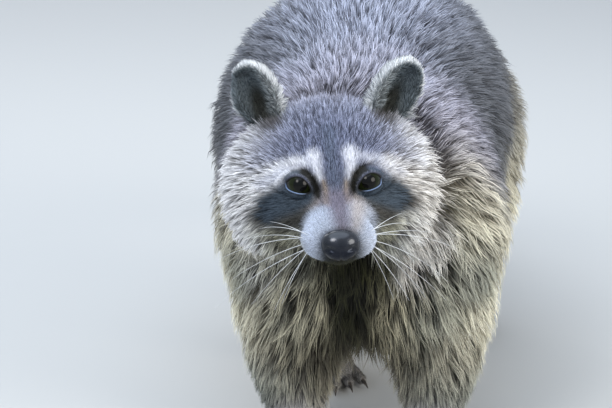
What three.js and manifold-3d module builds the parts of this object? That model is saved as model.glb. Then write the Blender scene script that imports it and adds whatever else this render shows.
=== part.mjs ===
// A grown raccoon, life size, walking slowly on all fours with its head up at the height of its shoulders.
// The solids reach out to the tips of the coat. Millimetres, +Z up; the animal faces -Y and its left is +X.
// The flesh is one smooth field of ellipsoids and round cones. Each part is meshed from that field with facets
// of its own size, and thin cuts part it from its neighbours.
import * as THREE from "three";
import { mergeVertices } from "three/addons/utils/BufferGeometryUtils.js";
import Module from "manifold-3d";

const wasm = await Module();
wasm.setup();

// ---- Driving dimensions ----
const CUT = 0.4; // width of each thin cut
const CELLS = { trunk: 32, neck: 23, leg: 20.5, tail: 20, head: 10.8 }; // edges of the facets on each part
// How far the masses of a part flow into each other:
const BLEND = { trunk: 60, body: 34, neck: 22, leg: 16, tail: 12, head: 11 };

const EYE_HEIGHT = 232;
const EYE_SPAN = 50; // between the two eyeballs' centres
const EYE_RADIUS = 9.2;
const EYE_DEPTH = -1.5;
const HEAD_FORWARD = 105; // from the forepaws to the eyes
const HEAD_ASIDE = -17; // the head is carried a little to the animal's right
const HEAD_DROP = 6; // degrees that the muzzle points down
const HEAD_TURN = 7; // degrees towards the animal's left
const HEAD_TILT = -2; // degrees

const CHEST = { at: [-7, 48, 181], size: [95, 96, 101] };
const BARREL = { at: [-9, 175, 201], size: [117, 146, 118] };
const RUMP = { at: [-4, 300, 196], size: [107, 104, 108] };
const NECK = { from: [-7, 20, 208], to: [-14, -30, 216], radii: [84, 56] };

const FORE_SPAN = 100; // between the two forelegs
const HIND_SPAN = 116;
const FOREPAW = { width: 33, length: 62, toeLength: 24, fan: 14, toeStep: 7 };
const HINDPAW = { width: 32, length: 74, toeLength: 22, fan: 11, toeStep: 11 };
const HEEL_LENGTH = 14; // behind the ankle, on the hind paws
const HEEL_RADIUS = 12.5;
const PAW_HEIGHT = 22;
const WRIST_HEIGHT = 27; // where a paw is parted from its leg
const TOE_RADIUS = 5.3;
const CLAW_LENGTH = 9;
const CLAW_RADIUS = 2.1;

const TAIL_ROUTE = [[3, 360, 226], [6, 420, 197], [13, 490, 146], [21, 552, 106], [28, 602, 88]];
const TAIL_RADII = [42, 36, 39, 39, 27];

const COLOURS = {
  coat: "#8b8a90",
  pale: "#c9c4b8",
  leather: "#141416",
  eye: "#1c120c",
};

// ---- Small vector helpers ----
const vec = (a) => new THREE.Vector3(...a);
const degrees = THREE.MathUtils.degToRad;
const mirrored = ([x, y, z], side) => [x * side, y, z];

// ---- Fields: each returns the signed distance in mm, negative inside ----
function ellipsoid(at, size, turn = new THREE.Quaternion()) {
  const centre = vec(at);
  const back = turn.clone().invert();
  return (p) => {
    const q = p.clone().sub(centre).applyQuaternion(back);
    const near = Math.hypot(q.x / size[0], q.y / size[1], q.z / size[2]);
    const far = Math.hypot(q.x / size[0] ** 2, q.y / size[1] ** 2, q.z / size[2] ** 2);
    return far > 0 ? (near * (near - 1)) / far : -Math.min(...size);
  };
}

// A cone with round ends, of radius r1 at a and r2 at b.
function roundCone(from, to, r1, r2) {
  const a = vec(from);
  const axis = vec(to).sub(a);
  const l2 = axis.lengthSq();
  const narrowing = r1 - r2;
  const a2 = l2 - narrowing * narrowing;
  return (p) => {
    const pa = p.clone().sub(a);
    const y = pa.dot(axis);
    const z = y - l2;
    const x2 = pa.multiplyScalar(l2).addScaledVector(axis, -y).lengthSq();
    const k = Math.sign(narrowing) * narrowing * narrowing * x2;
    if (Math.sign(z) * a2 * z * z * l2 > k) return Math.sqrt(x2 + z * z * l2) / l2 - r2;
    if (Math.sign(y) * a2 * y * y * l2 < k) return Math.sqrt(x2 + y * y * l2) / l2 - r1;
    return (Math.sqrt((x2 * a2) / l2) + y * narrowing) / l2 - r1;
  };
}

// A chain of round cones along a route.
function chain(route, radii, blend) {
  const links = route.slice(1).map((to, i) => roundCone(route[i], to, radii[i], radii[i + 1]));
  return blended(links, blend);
}

// The lesser of two distances, with the crease between them filled over the given width.
function smoothMin(a, b, width) {
  const h = Math.max(width - Math.abs(a - b), 0) / width;
  return Math.min(a, b) - (h * h * width) / 4;
}

// The smooth union of several fields.
function blended(fields, width) {
  return (p) => fields.map((field) => field(p)).reduce((a, b) => smoothMin(a, b, width));
}

// ---- The body's masses ----
const trunkField = blended(
  [CHEST, BARREL, RUMP].map(({ at, size }) => ellipsoid(at, size)),
  BLEND.trunk,
);

// A leg's joints from the trunk down to the paw, with the coat's radius at each. The two hind legs are a
// stride apart: the right one is brought forward under the belly.
const LEGS = {
  foreleg_left: foreleg(1),
  foreleg_right: foreleg(-1),
  hindleg_left: hindleg(1, 0, 0),
  hindleg_right: hindleg(-1, 140, 26),
};

function foreleg(side) {
  const x = (side * FORE_SPAN) / 2;
  return {
    side,
    joints: [[x * 1.08, 24, 168], [x * 1.08, 18, 104], [x * 1.02, 12, 62], [x, 5, 24]],
    radii: [50, 39, 31, 17],
    foot: [x, -2, 0],
    heading: side * 5,
    heel: 0,
    paw: FOREPAW,
    space: { at: [24, 142], radius: 52, inner: 30, lowerInner: 17, front: -48, back: 70 },
  };
}

function hindleg(side, forward, inward) {
  const x = (side * HIND_SPAN) / 2;
  const foot = x - side * inward;
  return {
    side,
    joints: [
      [x * 1.02, 310 - forward * 0.28, 168],
      [x * 1.12, 276 - forward * 0.62, 108],
      [foot * 1.02, 330 - forward * 0.86, 56],
      [foot, 342 - forward, 24],
    ],
    radii: [60, 45, 25, 17],
    foot: [foot, 340 - forward, 0],
    heading: side * (forward ? -4 : 7),
    heel: HEEL_LENGTH,
    paw: HINDPAW,
    space: {
      at: [300 - forward * 0.4, 152],
      radius: 66,
      inner: 34,
      lowerInner: 20 - inward * 0.7,
      front: 238 - forward * 0.66,
      back: 392 - forward * 0.6,
    },
  };
}

const bodyField = blended(
  [
    trunkField,
    roundCone(NECK.from, NECK.to, ...NECK.radii),
    ...Object.values(LEGS).map((leg) => chain(leg.joints, leg.radii, BLEND.leg)),
    chain(TAIL_ROUTE, TAIL_RADII, BLEND.tail),
  ],
  BLEND.body,
);

// ---- The head, in its own frame: its origin is midway between the eyes, and it looks along -Y ----
const headTurn = new THREE.Quaternion().setFromEuler(
  new THREE.Euler(degrees(HEAD_DROP), degrees(HEAD_TILT), degrees(HEAD_TURN), "ZYX"),
);
const headPlace = new THREE.Matrix4().compose(
  vec([HEAD_ASIDE, -HEAD_FORWARD, EYE_HEIGHT]),
  headTurn,
  vec([1, 1, 1]),
);
const headBack = headPlace.clone().invert();

const MUZZLE_TIP = [0, -47, -25.5];
const ORBIT = { at: [27, -19, 1], size: [14, 13, 11.5], blend: 4 };
const NOSE = { at: [0, -57, -22], size: [12.4, 8.6, 10], flare: 0.12, lean: -12 };
const EAR = { at: [50, 56, 47], width: 18.5, height: 29, depth: 14, lean: 14, splay: 24, swing: 16, wall: 3.8 };
const JAW = { at: [0, -40, -33], size: [50, 80, 60], rise: 7 }; // at: middle of the line of the mouth

const skull = blended(
  [
    ellipsoid([0, 50, -7], [60, 60, 50]), // braincase under its fur
    ellipsoid([0, 14, -3], [36, 27, 25]), // brow and the bridge between the eyes
    ...[1, -1].flatMap((side) => [
      ellipsoid(mirrored([41, 44, -20], side), [36.5, 38, 49]), // cheek ruff
      ellipsoid(mirrored([24, 17, -27], side), [25, 29, 22]), // cheek under the eye
      ellipsoid(mirrored([10, -38, -28], side), [15, 18, 14]), // whisker pad
    ]),
    roundCone([0, 14, -18], MUZZLE_TIP, 28, 14.5), // muzzle
    roundCone([0, 26, -44], [0, -31, -38], 23, 10), // lower jaw
  ],
  BLEND.head,
);
const orbits = [1, -1].map((side) => ellipsoid(mirrored(ORBIT.at, side), ORBIT.size));

// The head with a shallow dish for each eye.
const headField = (p) => orbits.reduce((d, orbit) => -smoothMin(-d, orbit(p), ORBIT.blend), skull(p));

const wholeField = (p) => smoothMin(headField(p.clone().applyMatrix4(headBack)), bodyField(p), BLEND.neck);

// ---- Meshing a field: one vertex in each cell that the surface crosses, drawn onto the surface ----
const CORNERS = [...Array(8).keys()].map((c) => [c & 1, (c >> 1) & 1, c >> 2]);
const EDGES = CORNERS.flatMap((_, a) => [1, 2, 4].filter((bit) => !(a & bit)).map((bit) => [a, a | bit]));
const AXES = [[1, 0, 0], [0, 1, 0], [0, 0, 1]];

function meshField(field, low, high, cell) {
  const count = low.map((l, i) => Math.ceil((high[i] - l) / cell) + 1);
  const corner = (i, j, k) => (k * count[1] + j) * count[0] + i;
  const values = new Float64Array(count[0] * count[1] * count[2]);
  const p = new THREE.Vector3();
  const each = (margin, visit) => {
    for (let k = 0; k < count[2] - margin; k++) {
      for (let j = 0; j < count[1] - margin; j++) {
        for (let i = 0; i < count[0] - margin; i++) visit(i, j, k);
      }
    }
  };
  const place = (i, j, k) => p.set(low[0] + i * cell, low[1] + j * cell, low[2] + k * cell);
  each(0, (i, j, k) => (values[corner(i, j, k)] = field(place(i, j, k))));

  const vertexOf = new Map();
  const points = [];
  each(1, (i, j, k) => {
    const at = CORNERS.map(([a, b, c]) => values[corner(i + a, j + b, k + c)]);
    if (at.every((v) => v < 0) || at.every((v) => v >= 0)) return;
    const middle = new THREE.Vector3();
    let crossings = 0;
    for (const [a, b] of EDGES) {
      if (at[a] < 0 === at[b] < 0) continue;
      const t = at[a] / (at[a] - at[b]);
      middle.add(vec(CORNERS[a]).lerp(vec(CORNERS[b]), t));
      crossings++;
    }
    middle.divideScalar(crossings).add(vec([i, j, k])).multiplyScalar(cell).add(vec(low));
    vertexOf.set(corner(i, j, k), points.length);
    points.push(drawnOnto(field, middle, cell));
  });

  const triangles = [];
  each(1, (i, j, k) => {
    const here = values[corner(i, j, k)] < 0;
    AXES.forEach(([a, b, c], axis) => {
      if (here === values[corner(i + a, j + b, k + c)] < 0) return;
      const u = AXES[(axis + 1) % 3];
      const v = AXES[(axis + 2) % 3];
      const cellAt = (m, n) => {
        const [x, y, z] = [i, j, k].map((at, d) => at - m * u[d] - n * v[d]);
        return vertexOf.get(corner(x, y, z));
      };
      const quad = [cellAt(1, 1), cellAt(0, 1), cellAt(0, 0), cellAt(1, 0)];
      if (!here) quad.reverse();
      const [q0, q1, q2, q3] = quad;
      const shortFirst = points[q0].distanceTo(points[q2]) < points[q1].distanceTo(points[q3]);
      triangles.push(...(shortFirst ? [q0, q1, q2, q0, q2, q3] : [q0, q1, q3, q1, q2, q3]));
    });
  });
  const geometry = new THREE.BufferGeometry();
  const flat = points.flatMap((q) => [q.x, q.y, q.z]);
  geometry.setAttribute("position", new THREE.BufferAttribute(new Float32Array(flat), 3));
  geometry.setIndex(triangles);
  return geometry;
}

// Moves a point along the field's slope until it lies on the surface.
function drawnOnto(field, start, cell) {
  const p = start.clone();
  const step = 0.5;
  for (let round = 0; round < 2; round++) {
    const here = field(p);
    const slope = new THREE.Vector3(
      field(p.clone().setX(p.x + step)) - here,
      field(p.clone().setY(p.y + step)) - here,
      field(p.clone().setZ(p.z + step)) - here,
    ).divideScalar(step);
    const move = slope.multiplyScalar(-here / Math.max(slope.lengthSq(), 0.05));
    p.add(move.clampLength(0, cell / 3));
  }
  return p;
}

// ---- Solids for cutting and joining ----
const placed = (at, turn = new THREE.Quaternion(), size = [1, 1, 1]) =>
  new THREE.Matrix4().compose(vec(at), turn, vec(size));
const inHead = (at, turn, size) => headPlace.clone().multiply(placed(at, turn, size));

function solid(geometry, matrix) {
  const bare = geometry.clone();
  bare.deleteAttribute("normal");
  bare.deleteAttribute("uv");
  if (matrix) bare.applyMatrix4(matrix);
  const merged = mergeVertices(bare, 1e-3);
  return new wasm.Manifold(
    new wasm.Mesh({
      numProp: 3,
      vertProperties: new Float32Array(merged.attributes.position.array),
      triVerts: new Uint32Array(merged.index.array),
    }),
  );
}

const LARGE = 2000;
// Everything on the far side of a plane through a point, in the direction of the normal.
function halfSpace(point, normal) {
  const direction = vec(normal).normalize();
  const turn = new THREE.Quaternion().setFromUnitVectors(vec([0, 0, 1]), direction);
  const centre = vec(point).addScaledVector(direction, LARGE / 2);
  return solid(new THREE.BoxGeometry(LARGE, LARGE, LARGE), placed(centre.toArray(), turn));
}

// Parts a solid at a plane and returns the piece in front of it and the piece behind it, a cut apart.
function parted(whole, point, normal) {
  const direction = vec(normal).normalize();
  const shifted = (by) => vec(point).addScaledVector(direction, by).toArray();
  const front = whole.intersect(halfSpace(shifted(CUT / 2), normal));
  const behind = whole.intersect(halfSpace(shifted(-CUT / 2), direction.negate().toArray()));
  return [front, behind];
}

// A cut can leave crumbs behind: only the largest body counts.
function largest(whole) {
  return whole.decompose().reduce((a, b) => (a.volume() > b.volume() ? a : b));
}

// The space that a leg takes out of the trunk: a drum round its upper joint that opens sideways, with a
// block below it for the rest of the leg.
function legSpace({ space, side }, grow) {
  const reach = 300; // past the animal's side
  const [y, z] = space.at;
  const drumInner = space.inner - grow;
  const blockInner = space.lowerInner - grow;
  const acrossX = new THREE.Quaternion().setFromEuler(new THREE.Euler(0, 0, Math.PI / 2));
  const drum = solid(
    new THREE.CylinderGeometry(space.radius + grow, space.radius + grow, reach, 24),
    placed([side * (drumInner + reach / 2), y, z], acrossX),
  );
  const top = z - space.radius * 0.78 + grow; // the block reaches up into the drum
  const depth = space.back - space.front + 2 * grow;
  const block = solid(
    new THREE.BoxGeometry(reach, depth, 2 * top),
    placed([side * (blockInner + reach / 2), (space.back + space.front) / 2, 0]),
  );
  return drum.add(block);
}

// ---- The group and its materials ----
const group = new THREE.Group();

function addNode(name, shape, colour, roughness = 0.85) {
  const mesh = shape.getMesh();
  const geometry = new THREE.BufferGeometry();
  geometry.setAttribute("position", new THREE.BufferAttribute(new Float32Array(mesh.vertProperties), 3));
  geometry.setIndex(new THREE.BufferAttribute(new Uint32Array(mesh.triVerts), 1));
  const material = new THREE.MeshStandardMaterial({ color: colour, roughness, metalness: 0 });
  const node = new THREE.Mesh(geometry, material);
  node.name = name;
  group.add(node);
}

// The whole animal's surface inside a box, meshed with facets of one size and closed at the box's walls.
function meshedBox(low, high, cell) {
  const boxed = (p) => {
    const past = [p.x, p.y, p.z].map((v, i) => Math.max(low[i] + cell - v, v - high[i] + cell));
    return Math.max(wholeField(p), ...past);
  };
  return solid(meshField(boxed, low, high, cell));
}

// ---- Body: trunk, neck, legs and tail ----
const aboveWrists = halfSpace([0, 0, WRIST_HEIGHT + CUT / 2], [0, 0, 1]);

const neckBase = [[-4, 0, 195], [0.06, -0.78, 0.62]];
const headBase = [[HEAD_ASIDE, -32, 226], [0.06, -1, 0.2]];
const tailBase = [[6, 392, 205], [0.05, 0.97, 0.15]];
const waist = [[0, 172, 200], [0, 1, 0.08]];

// What is left of a solid between the base of the neck and the base of the tail.
function betweenNeckAndTail(whole) {
  const [, behindNeck] = parted(whole, ...neckBase);
  return parted(behindNeck, ...tailBase)[1];
}

let trunk = betweenNeckAndTail(meshedBox([-190, -120, 0], [190, 470, 400], CELLS.trunk));
for (const [name, leg] of Object.entries(LEGS)) {
  const { at, radius, front, back, lowerInner } = leg.space;
  const xs = [leg.side * (lowerInner - 30), leg.side * 170];
  const low = [Math.min(...xs), front - 40, -10];
  const high = [Math.max(...xs), back + 60, at[1] + radius + 30];
  const limb = betweenNeckAndTail(meshedBox(low, high, CELLS.leg).intersect(aboveWrists));
  addNode(name, largest(limb.intersect(legSpace(leg, 0))), COLOURS.coat);
  trunk = largest(trunk.subtract(legSpace(leg, CUT)));
}
let [neck] = parted(meshedBox([-140, -130, 60], [140, 120, 360], CELLS.neck), ...neckBase);
[, neck] = parted(neck, ...headBase);
const [tail] = parted(meshedBox([-90, 330, 20], [110, 680, 330], CELLS.tail), ...tailBase);
const [abdomen, chest] = parted(trunk, ...waist);
addNode("neck", largest(neck), COLOURS.coat);
addNode("chest", largest(chest), COLOURS.coat);
addNode("abdomen", largest(abdomen), COLOURS.coat);
addNode("tail", largest(tail), COLOURS.coat);

// ---- Head: a finer mesh of the same field ----
let [head] = parted(meshedBox([-130, -200, 100], [100, 20, 330], CELLS.head), ...headBase);
head = largest(head);

// Eyeballs sit in sockets that are a cut wider than they are.
const eyeball = new THREE.SphereGeometry(EYE_RADIUS, 12, 7);
for (const [side, name] of [[1, "eye_left"], [-1, "eye_right"]]) {
  const at = [(side * EYE_SPAN) / 2, EYE_DEPTH, 0];
  addNode(name, solid(eyeball, inHead(at)), COLOURS.eye, 0.08);
  const grow = 1 + (2 * CUT) / EYE_RADIUS;
  head = head.subtract(solid(eyeball, inHead(at, undefined, [grow, grow, grow])));
}

// The nose pad is a rounded wedge, wider at the top, let into the tip of the muzzle.
function nosePad(grow) {
  const geometry = new THREE.SphereGeometry(1, 12, 8);
  const position = geometry.attributes.position;
  const boxy = (v) => Math.sign(v) * Math.abs(v) ** 0.82;
  const p = new THREE.Vector3();
  for (let i = 0; i < position.count; i++) {
    p.fromBufferAttribute(position, i);
    const [x, y, z] = [p.x, p.y, p.z].map((v, axis) => boxy(v) * (NOSE.size[axis] + grow));
    position.setXYZ(i, x * (1 + NOSE.flare * p.z), y, z);
  }
  const lean = new THREE.Quaternion().setFromEuler(new THREE.Euler(degrees(NOSE.lean), 0, 0));
  return solid(geometry, inHead(NOSE.at, lean));
}
addNode("nose", nosePad(0), COLOURS.leather, 0.3);
head = largest(head.subtract(nosePad(CUT)));

// Ears: a bowl that opens forwards and outwards, let into the side of the crown.
function earBowl(side) {
  const { width, height, depth, lean, splay, swing, wall } = EAR;
  const at = vec(mirrored(EAR.at, side));
  const turn = new THREE.Quaternion().setFromEuler(
    new THREE.Euler(degrees(lean), degrees(side * splay), degrees(side * swing), "ZYX"),
  );
  const ball = new THREE.SphereGeometry(1, 12, 8);
  const outer = solid(ball, inHead(at.toArray(), turn, [width, depth, height]));
  const hollowAt = vec([0, -depth * 0.72, 1.5]).applyQuaternion(turn).add(at);
  const hollow = [width - wall, depth * 1.02, height - wall];
  const mouthAt = vec([0, -depth * 0.3, 0]).applyQuaternion(turn).add(at).applyMatrix4(headPlace);
  const facing = vec([0, -1, 0]).applyQuaternion(turn).applyQuaternion(headTurn);
  return outer
    .subtract(solid(ball, inHead(hollowAt.toArray(), turn, hollow)))
    .subtract(halfSpace(mouthAt.toArray(), facing.toArray()));
}
for (const [side, name] of [[1, "ear_left"], [-1, "ear_right"]]) {
  addNode(name, largest(earBowl(side).subtract(head)), COLOURS.pale);
}

// The lower jaw is parted along the line of the closed mouth.
function jawBlock(grow) {
  const { at, size, rise } = JAW;
  const slope = new THREE.Quaternion().setFromEuler(new THREE.Euler(degrees(rise), 0, 0));
  const [width, length, height] = size.map((v) => v + grow);
  const box = new THREE.BoxGeometry(width, length, height);
  return solid(box, inHead(at, slope).multiply(placed([0, 0, -size[2] / 2])));
}
addNode("lower_jaw", largest(head.intersect(jawBlock(0))), COLOURS.pale);
addNode("head", largest(head.subtract(jawBlock(2 * CUT))), COLOURS.coat);

// ---- Paws: a palm, five toes and their claws, flat underneath ----
const aboveGround = halfSpace([0, 0, 0], [0, 0, 1]);
const belowWrist = halfSpace([0, 0, WRIST_HEIGHT - CUT / 2], [0, 0, -1]);

// A solid made along +Y, laid from one point to another.
function between(from, to, shape) {
  const axis = vec(to).sub(vec(from));
  const turn = new THREE.Quaternion().setFromUnitVectors(vec([0, 1, 0]), axis.clone().normalize());
  const centre = vec(from).addScaledVector(axis, 0.5);
  return solid(shape(axis.length()), placed(centre.toArray(), turn));
}
const toeShape = (length) => new THREE.CapsuleGeometry(TOE_RADIUS, length, 1, 5);
const clawShape = (length) => new THREE.CylinderGeometry(0.5, CLAW_RADIUS, length, 4);
const heelShape = (length) => new THREE.CapsuleGeometry(HEEL_RADIUS, length, 1, 7);

// Each paw points along -Y before it is turned to its heading; its claws are joined to the toes.
function addPaw(name, leg) {
  const { width, length, toeLength, fan, toeStep } = leg.paw;
  const home = new THREE.Matrix4().makeRotationZ(degrees(leg.heading)).setPosition(...leg.foot);
  const put = (p) => vec(p).applyMatrix4(home).toArray();
  const palmLength = length - toeLength;
  const palm = [width / 2, palmLength * 0.56, PAW_HEIGHT * 0.6];
  const palmAt = [0, -palmLength * 0.42, PAW_HEIGHT * 0.36];
  const ball = new THREE.SphereGeometry(1, 8, 5);
  const ankle = leg.radii.at(-1);
  const ankleSize = [ankle, ankle * 1.08, PAW_HEIGHT * 1.3];
  let paw = solid(ball, home.clone().multiply(placed(palmAt, undefined, palm)));
  paw = paw.add(solid(ball, placed(leg.joints.at(-1), undefined, ankleSize)));
  if (leg.heel) paw = paw.add(between(put([0, leg.heel, 9]), put([0, -palmLength * 0.6, 9]), heelShape));
  for (let toe = -2; toe <= 2; toe++) {
    const outer = Math.abs(toe) / 2;
    const angle = degrees(toe * fan);
    const rootX = toe * width * 0.19;
    const rootY = -palmLength * 0.72 + outer * toeStep;
    const along = (reach, height) =>
      put([rootX + reach * Math.sin(angle), rootY - reach * Math.cos(angle), height]);
    const reach = toeLength + (1 - outer) * 5;
    paw = paw.add(between(along(0, 7.5), along(reach, TOE_RADIUS - 0.4), toeShape));
    paw = paw.add(between(along(reach, 4.6), along(reach + CLAW_LENGTH + 4, 1.6), clawShape));
  }
  addNode(name, largest(paw.intersect(aboveGround).intersect(belowWrist)), COLOURS.pale);
}
for (const [name, leg] of Object.entries(LEGS)) addPaw(name.replace("leg", "paw"), leg);

// The origin is on the ground, under the middle of the animal.
const extent = new THREE.Box3().setFromObject(group);
const middle = extent.getCenter(new THREE.Vector3());
for (const node of group.children) node.geometry.translate(-middle.x, -middle.y, 0);

export default group;
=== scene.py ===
"""Looks of a life-size raccoon: one skin, its coat in locks, eyes, nose, claws and whiskers.

Sizes in this file are in millimetres; meshes are written in metres, in the frame of the solids:
+Z up, the animal faces -Y and its left side is +X.
"""

import logging
import math
from dataclasses import dataclass, field, replace
from enum import Enum

import bpy
import numpy as np
import openvdb as vdb
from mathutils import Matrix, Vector

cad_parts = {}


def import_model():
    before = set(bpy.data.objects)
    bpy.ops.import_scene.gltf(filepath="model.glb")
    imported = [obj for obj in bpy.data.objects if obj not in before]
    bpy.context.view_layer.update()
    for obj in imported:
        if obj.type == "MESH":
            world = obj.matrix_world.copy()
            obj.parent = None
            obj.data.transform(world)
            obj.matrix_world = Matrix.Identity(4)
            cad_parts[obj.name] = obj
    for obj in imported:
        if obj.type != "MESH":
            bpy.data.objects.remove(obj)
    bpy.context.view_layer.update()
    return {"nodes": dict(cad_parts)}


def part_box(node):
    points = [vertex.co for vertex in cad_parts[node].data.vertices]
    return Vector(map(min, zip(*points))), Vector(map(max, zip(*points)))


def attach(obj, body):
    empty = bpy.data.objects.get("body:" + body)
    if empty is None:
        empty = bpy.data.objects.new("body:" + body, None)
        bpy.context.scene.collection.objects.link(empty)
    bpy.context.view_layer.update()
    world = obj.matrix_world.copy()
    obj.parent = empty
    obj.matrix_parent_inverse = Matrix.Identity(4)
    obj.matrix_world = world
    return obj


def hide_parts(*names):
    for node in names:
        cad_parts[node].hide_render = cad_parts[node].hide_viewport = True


Array = np.ndarray
Random = np.random.Generator
Piece = bpy.types.Object
Tree = bpy.types.NodeTree
Node = bpy.types.Node
Triple = tuple[float, float, float]
Stops = tuple[tuple[float, Triple], ...]

MM = 0.001
HEAD = "head's own axes"
FACE_TILT = math.radians(21.1)  # how far the nose lies below the head's forward axis
FLESH = (
    "head lower_jaw ear_left ear_right neck chest abdomen tail foreleg_left foreleg_right hindleg_left "
    "hindleg_right forepaw_left forepaw_right hindpaw_left hindpaw_right"
).split()
HEAD_SOLIDS = ("head", "lower_jaw", "ear_left", "ear_right")

log = logging.getLogger("raccoon")


# ---- Small helpers ----
def unit(vectors: Array) -> Array:
    """Vectors brought to length one."""
    return vectors / np.maximum(np.linalg.norm(vectors, axis=-1, keepdims=True), 1e-9)


def ramp(low: float, high: float, values: Array) -> Array:
    """A smooth rise from 0 at low to 1 at high."""
    t = np.clip((values - low) / (high - low), 0.0, 1.0)
    return t * t * (3.0 - 2.0 * t)


def smooth_min(a: Array, b: Array, width: float) -> Array:
    """The lesser of two distances, with the crease between them filled over the given width."""
    h = np.maximum(width - np.abs(a - b), 0.0) / width
    return np.minimum(a, b) - h * h * width / 4.0


def smooth_max(a: Array, b: Array, width: float) -> Array:
    """The greater of two distances, rounded over the given width."""
    return -smooth_min(-a, -b, width)


def ellipsoid(points: Array, centre: Triple, size: Triple) -> Array:
    """Signed distance to an ellipsoid, near its surface.

    Args:
        points: places, n by 3.
        centre: its middle.
        size: its half axes.

    Returns:
        One distance for each point, negative inside.
    """
    q = points - np.array(centre)
    near = np.linalg.norm(q / np.array(size), axis=-1)
    far = np.linalg.norm(q / np.array(size) ** 2, axis=-1)
    return near * (near - 1.0) / np.maximum(far, 1e-9)


def along_route(points: Array, route: Array) -> tuple[Array, Array, Array]:
    """Nearest place on a route of straight lengths.

    Args:
        points: places, n by d.
        route: the route's corners, m by d.

    Returns:
        The distance to the route, the place along it as a share of its length, and its direction there.
    """
    lengths = np.linalg.norm(np.diff(route, axis=0), axis=1)
    starts = np.concatenate([[0.0], np.cumsum(lengths)[:-1]])
    best = np.full(len(points), 1e9)
    share = np.zeros(len(points))
    heading = np.zeros_like(points, dtype=float)
    for corner, following, length, start in zip(route[:-1], route[1:], lengths, starts, strict=True):
        axis = (following - corner) / length
        t = np.clip((points - corner) @ axis, 0.0, length)
        away = np.linalg.norm(points - corner - t[:, None] * axis, axis=1)
        nearer = away < best
        best = np.where(nearer, away, best)
        share = np.where(nearer, (start + t) / lengths.sum(), share)
        heading[nearer] = axis
    return best, share, heading


def blur(values: Array, sigma: float) -> Array:
    """A block of numbers smoothed along each axis, sigma in cells.

    Args:
        values: the block.
        sigma: how far it is smoothed, in cells.

    Returns:
        The smoothed block.
    """
    reach = int(math.ceil(2.5 * sigma))
    weights = np.exp(-0.5 * (np.arange(-reach, reach + 1) / sigma) ** 2)
    weights = (weights / weights.sum()).astype(np.float32)
    for axis in range(3):
        padded = np.pad(values, [(reach, reach) if a == axis else (0, 0) for a in range(3)], mode="edge")
        count = values.shape[axis]
        values = sum(
            w * np.take(padded, range(k, k + count), axis=axis) for k, w in enumerate(weights)
        )
    return values


def turned_about(axis: int, angle: float) -> Array:
    """The matrix that turns places about an axis.

    Args:
        axis: 0 to 2 for x to z.
        angle: how far, in radians.

    Returns:
        The matrix.
    """
    a, b = (axis + 1) % 3, (axis + 2) % 3
    made = np.eye(3)
    made[a, a] = made[b, b] = math.cos(angle)
    made[a, b], made[b, a] = -math.sin(angle), math.sin(angle)
    return made


def dome(radius: float, reach: Array, least: float = 0.0) -> Array:
    """The height of a ball over places at some reach from its axis, its square kept above the least."""
    return np.sqrt(np.maximum(radius**2 - reach**2, least))


# ---- Meshes ----
def make_mesh(name: str, points: Array, faces: list[Array], smooth: bool = True) -> Piece:
    """A mesh object at the origin.

    Args:
        name: the piece's name.
        points: its points in millimetres, n by 3.
        faces: blocks of faces, each m by 3 or m by 4.
        smooth: whether its faces are shaded smooth.

    Returns:
        The new object, in the scene.
    """
    mesh = bpy.data.meshes.new(name)
    mesh.vertices.add(len(points))
    mesh.vertices.foreach_set("co", (points * MM).astype(np.float32).ravel())
    corners = np.concatenate([block.ravel() for block in faces]).astype(np.int32)
    sides = np.concatenate([np.full(len(block), block.shape[1]) for block in faces])
    mesh.loops.add(len(corners))
    mesh.loops.foreach_set("vertex_index", corners)
    mesh.polygons.add(len(sides))
    mesh.polygons.foreach_set("loop_start", (np.cumsum(sides) - sides).astype(np.int32))
    mesh.update(calc_edges=True)
    mesh.polygons.foreach_set("use_smooth", np.full(len(sides), smooth))
    made = bpy.data.objects.new(name, mesh)
    bpy.context.scene.collection.objects.link(made)
    return made


def paint(piece: Piece, name: str, colours: Array) -> None:
    """Writes a colour for each point of a piece, n by 3, as a colour attribute.

    Args:
        piece: the piece.
        name: the attribute's name.
        colours: linear colours, n by 3.
    """
    layer = piece.data.color_attributes.new(name, "FLOAT_COLOR", "POINT")
    full = np.ones((len(colours), 4), np.float32)
    full[:, :3] = colours
    layer.data.foreach_set("color", full.ravel())


def lay_out(piece: Piece, name: str, places: Array) -> None:
    """Writes a UV map from one place for each point of a piece, n by 2.

    Args:
        piece: the piece.
        name: the map's name.
        places: places on the map, n by 2.
    """
    mesh = piece.data
    corners = np.empty(len(mesh.loops), np.int32)
    mesh.loops.foreach_get("vertex_index", corners)
    layer = mesh.uv_layers.new(name=name)
    layer.uv.foreach_set("vector", places[corners].astype(np.float32).ravel())


def set_normals(piece: Piece, normals: Array) -> None:
    """Gives each point of a piece its own shading normal."""
    layer = piece.data.attributes.new("custom_normal", "FLOAT_VECTOR", "POINT")
    layer.data.foreach_set("vector", normals.astype(np.float32).ravel())


def point_normals(points: Array, triangles: Array) -> Array:
    """Normals at the points of a triangle mesh, weighted by area.

    Args:
        points: the mesh's points, n by 3.
        triangles: its faces, m by 3.

    Returns:
        Normals, n by 3.
    """
    a, b, c = (points[triangles[:, k]] for k in range(3))
    across = np.cross(b - a, c - a)
    total = np.zeros_like(points)
    for k in range(3):
        for axis in range(3):
            total[:, axis] += np.bincount(triangles[:, k], across[:, axis], len(points))
    return unit(total)


def halves(quads: Array) -> Array:
    """Triangles, m by 3, from four-sided faces, each cut along a diagonal."""
    return np.concatenate([quads[:, [0, 1, 2]], quads[:, [0, 2, 3]]])


def ring_faces(rings: int, sides: int) -> Array:
    """Four-sided faces between closed rings of points.

    Args:
        rings: how many rings.
        sides: how many points each ring has.

    Returns:
        The faces, from each ring to the next.
    """
    ring, side = np.meshgrid(np.arange(rings - 1), np.arange(sides), indexing="ij")
    a = (ring * sides + side).ravel()
    b = (ring * sides + (side + 1) % sides).ravel()
    return np.stack([a, b, b + sides, a + sides], axis=1)


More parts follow.
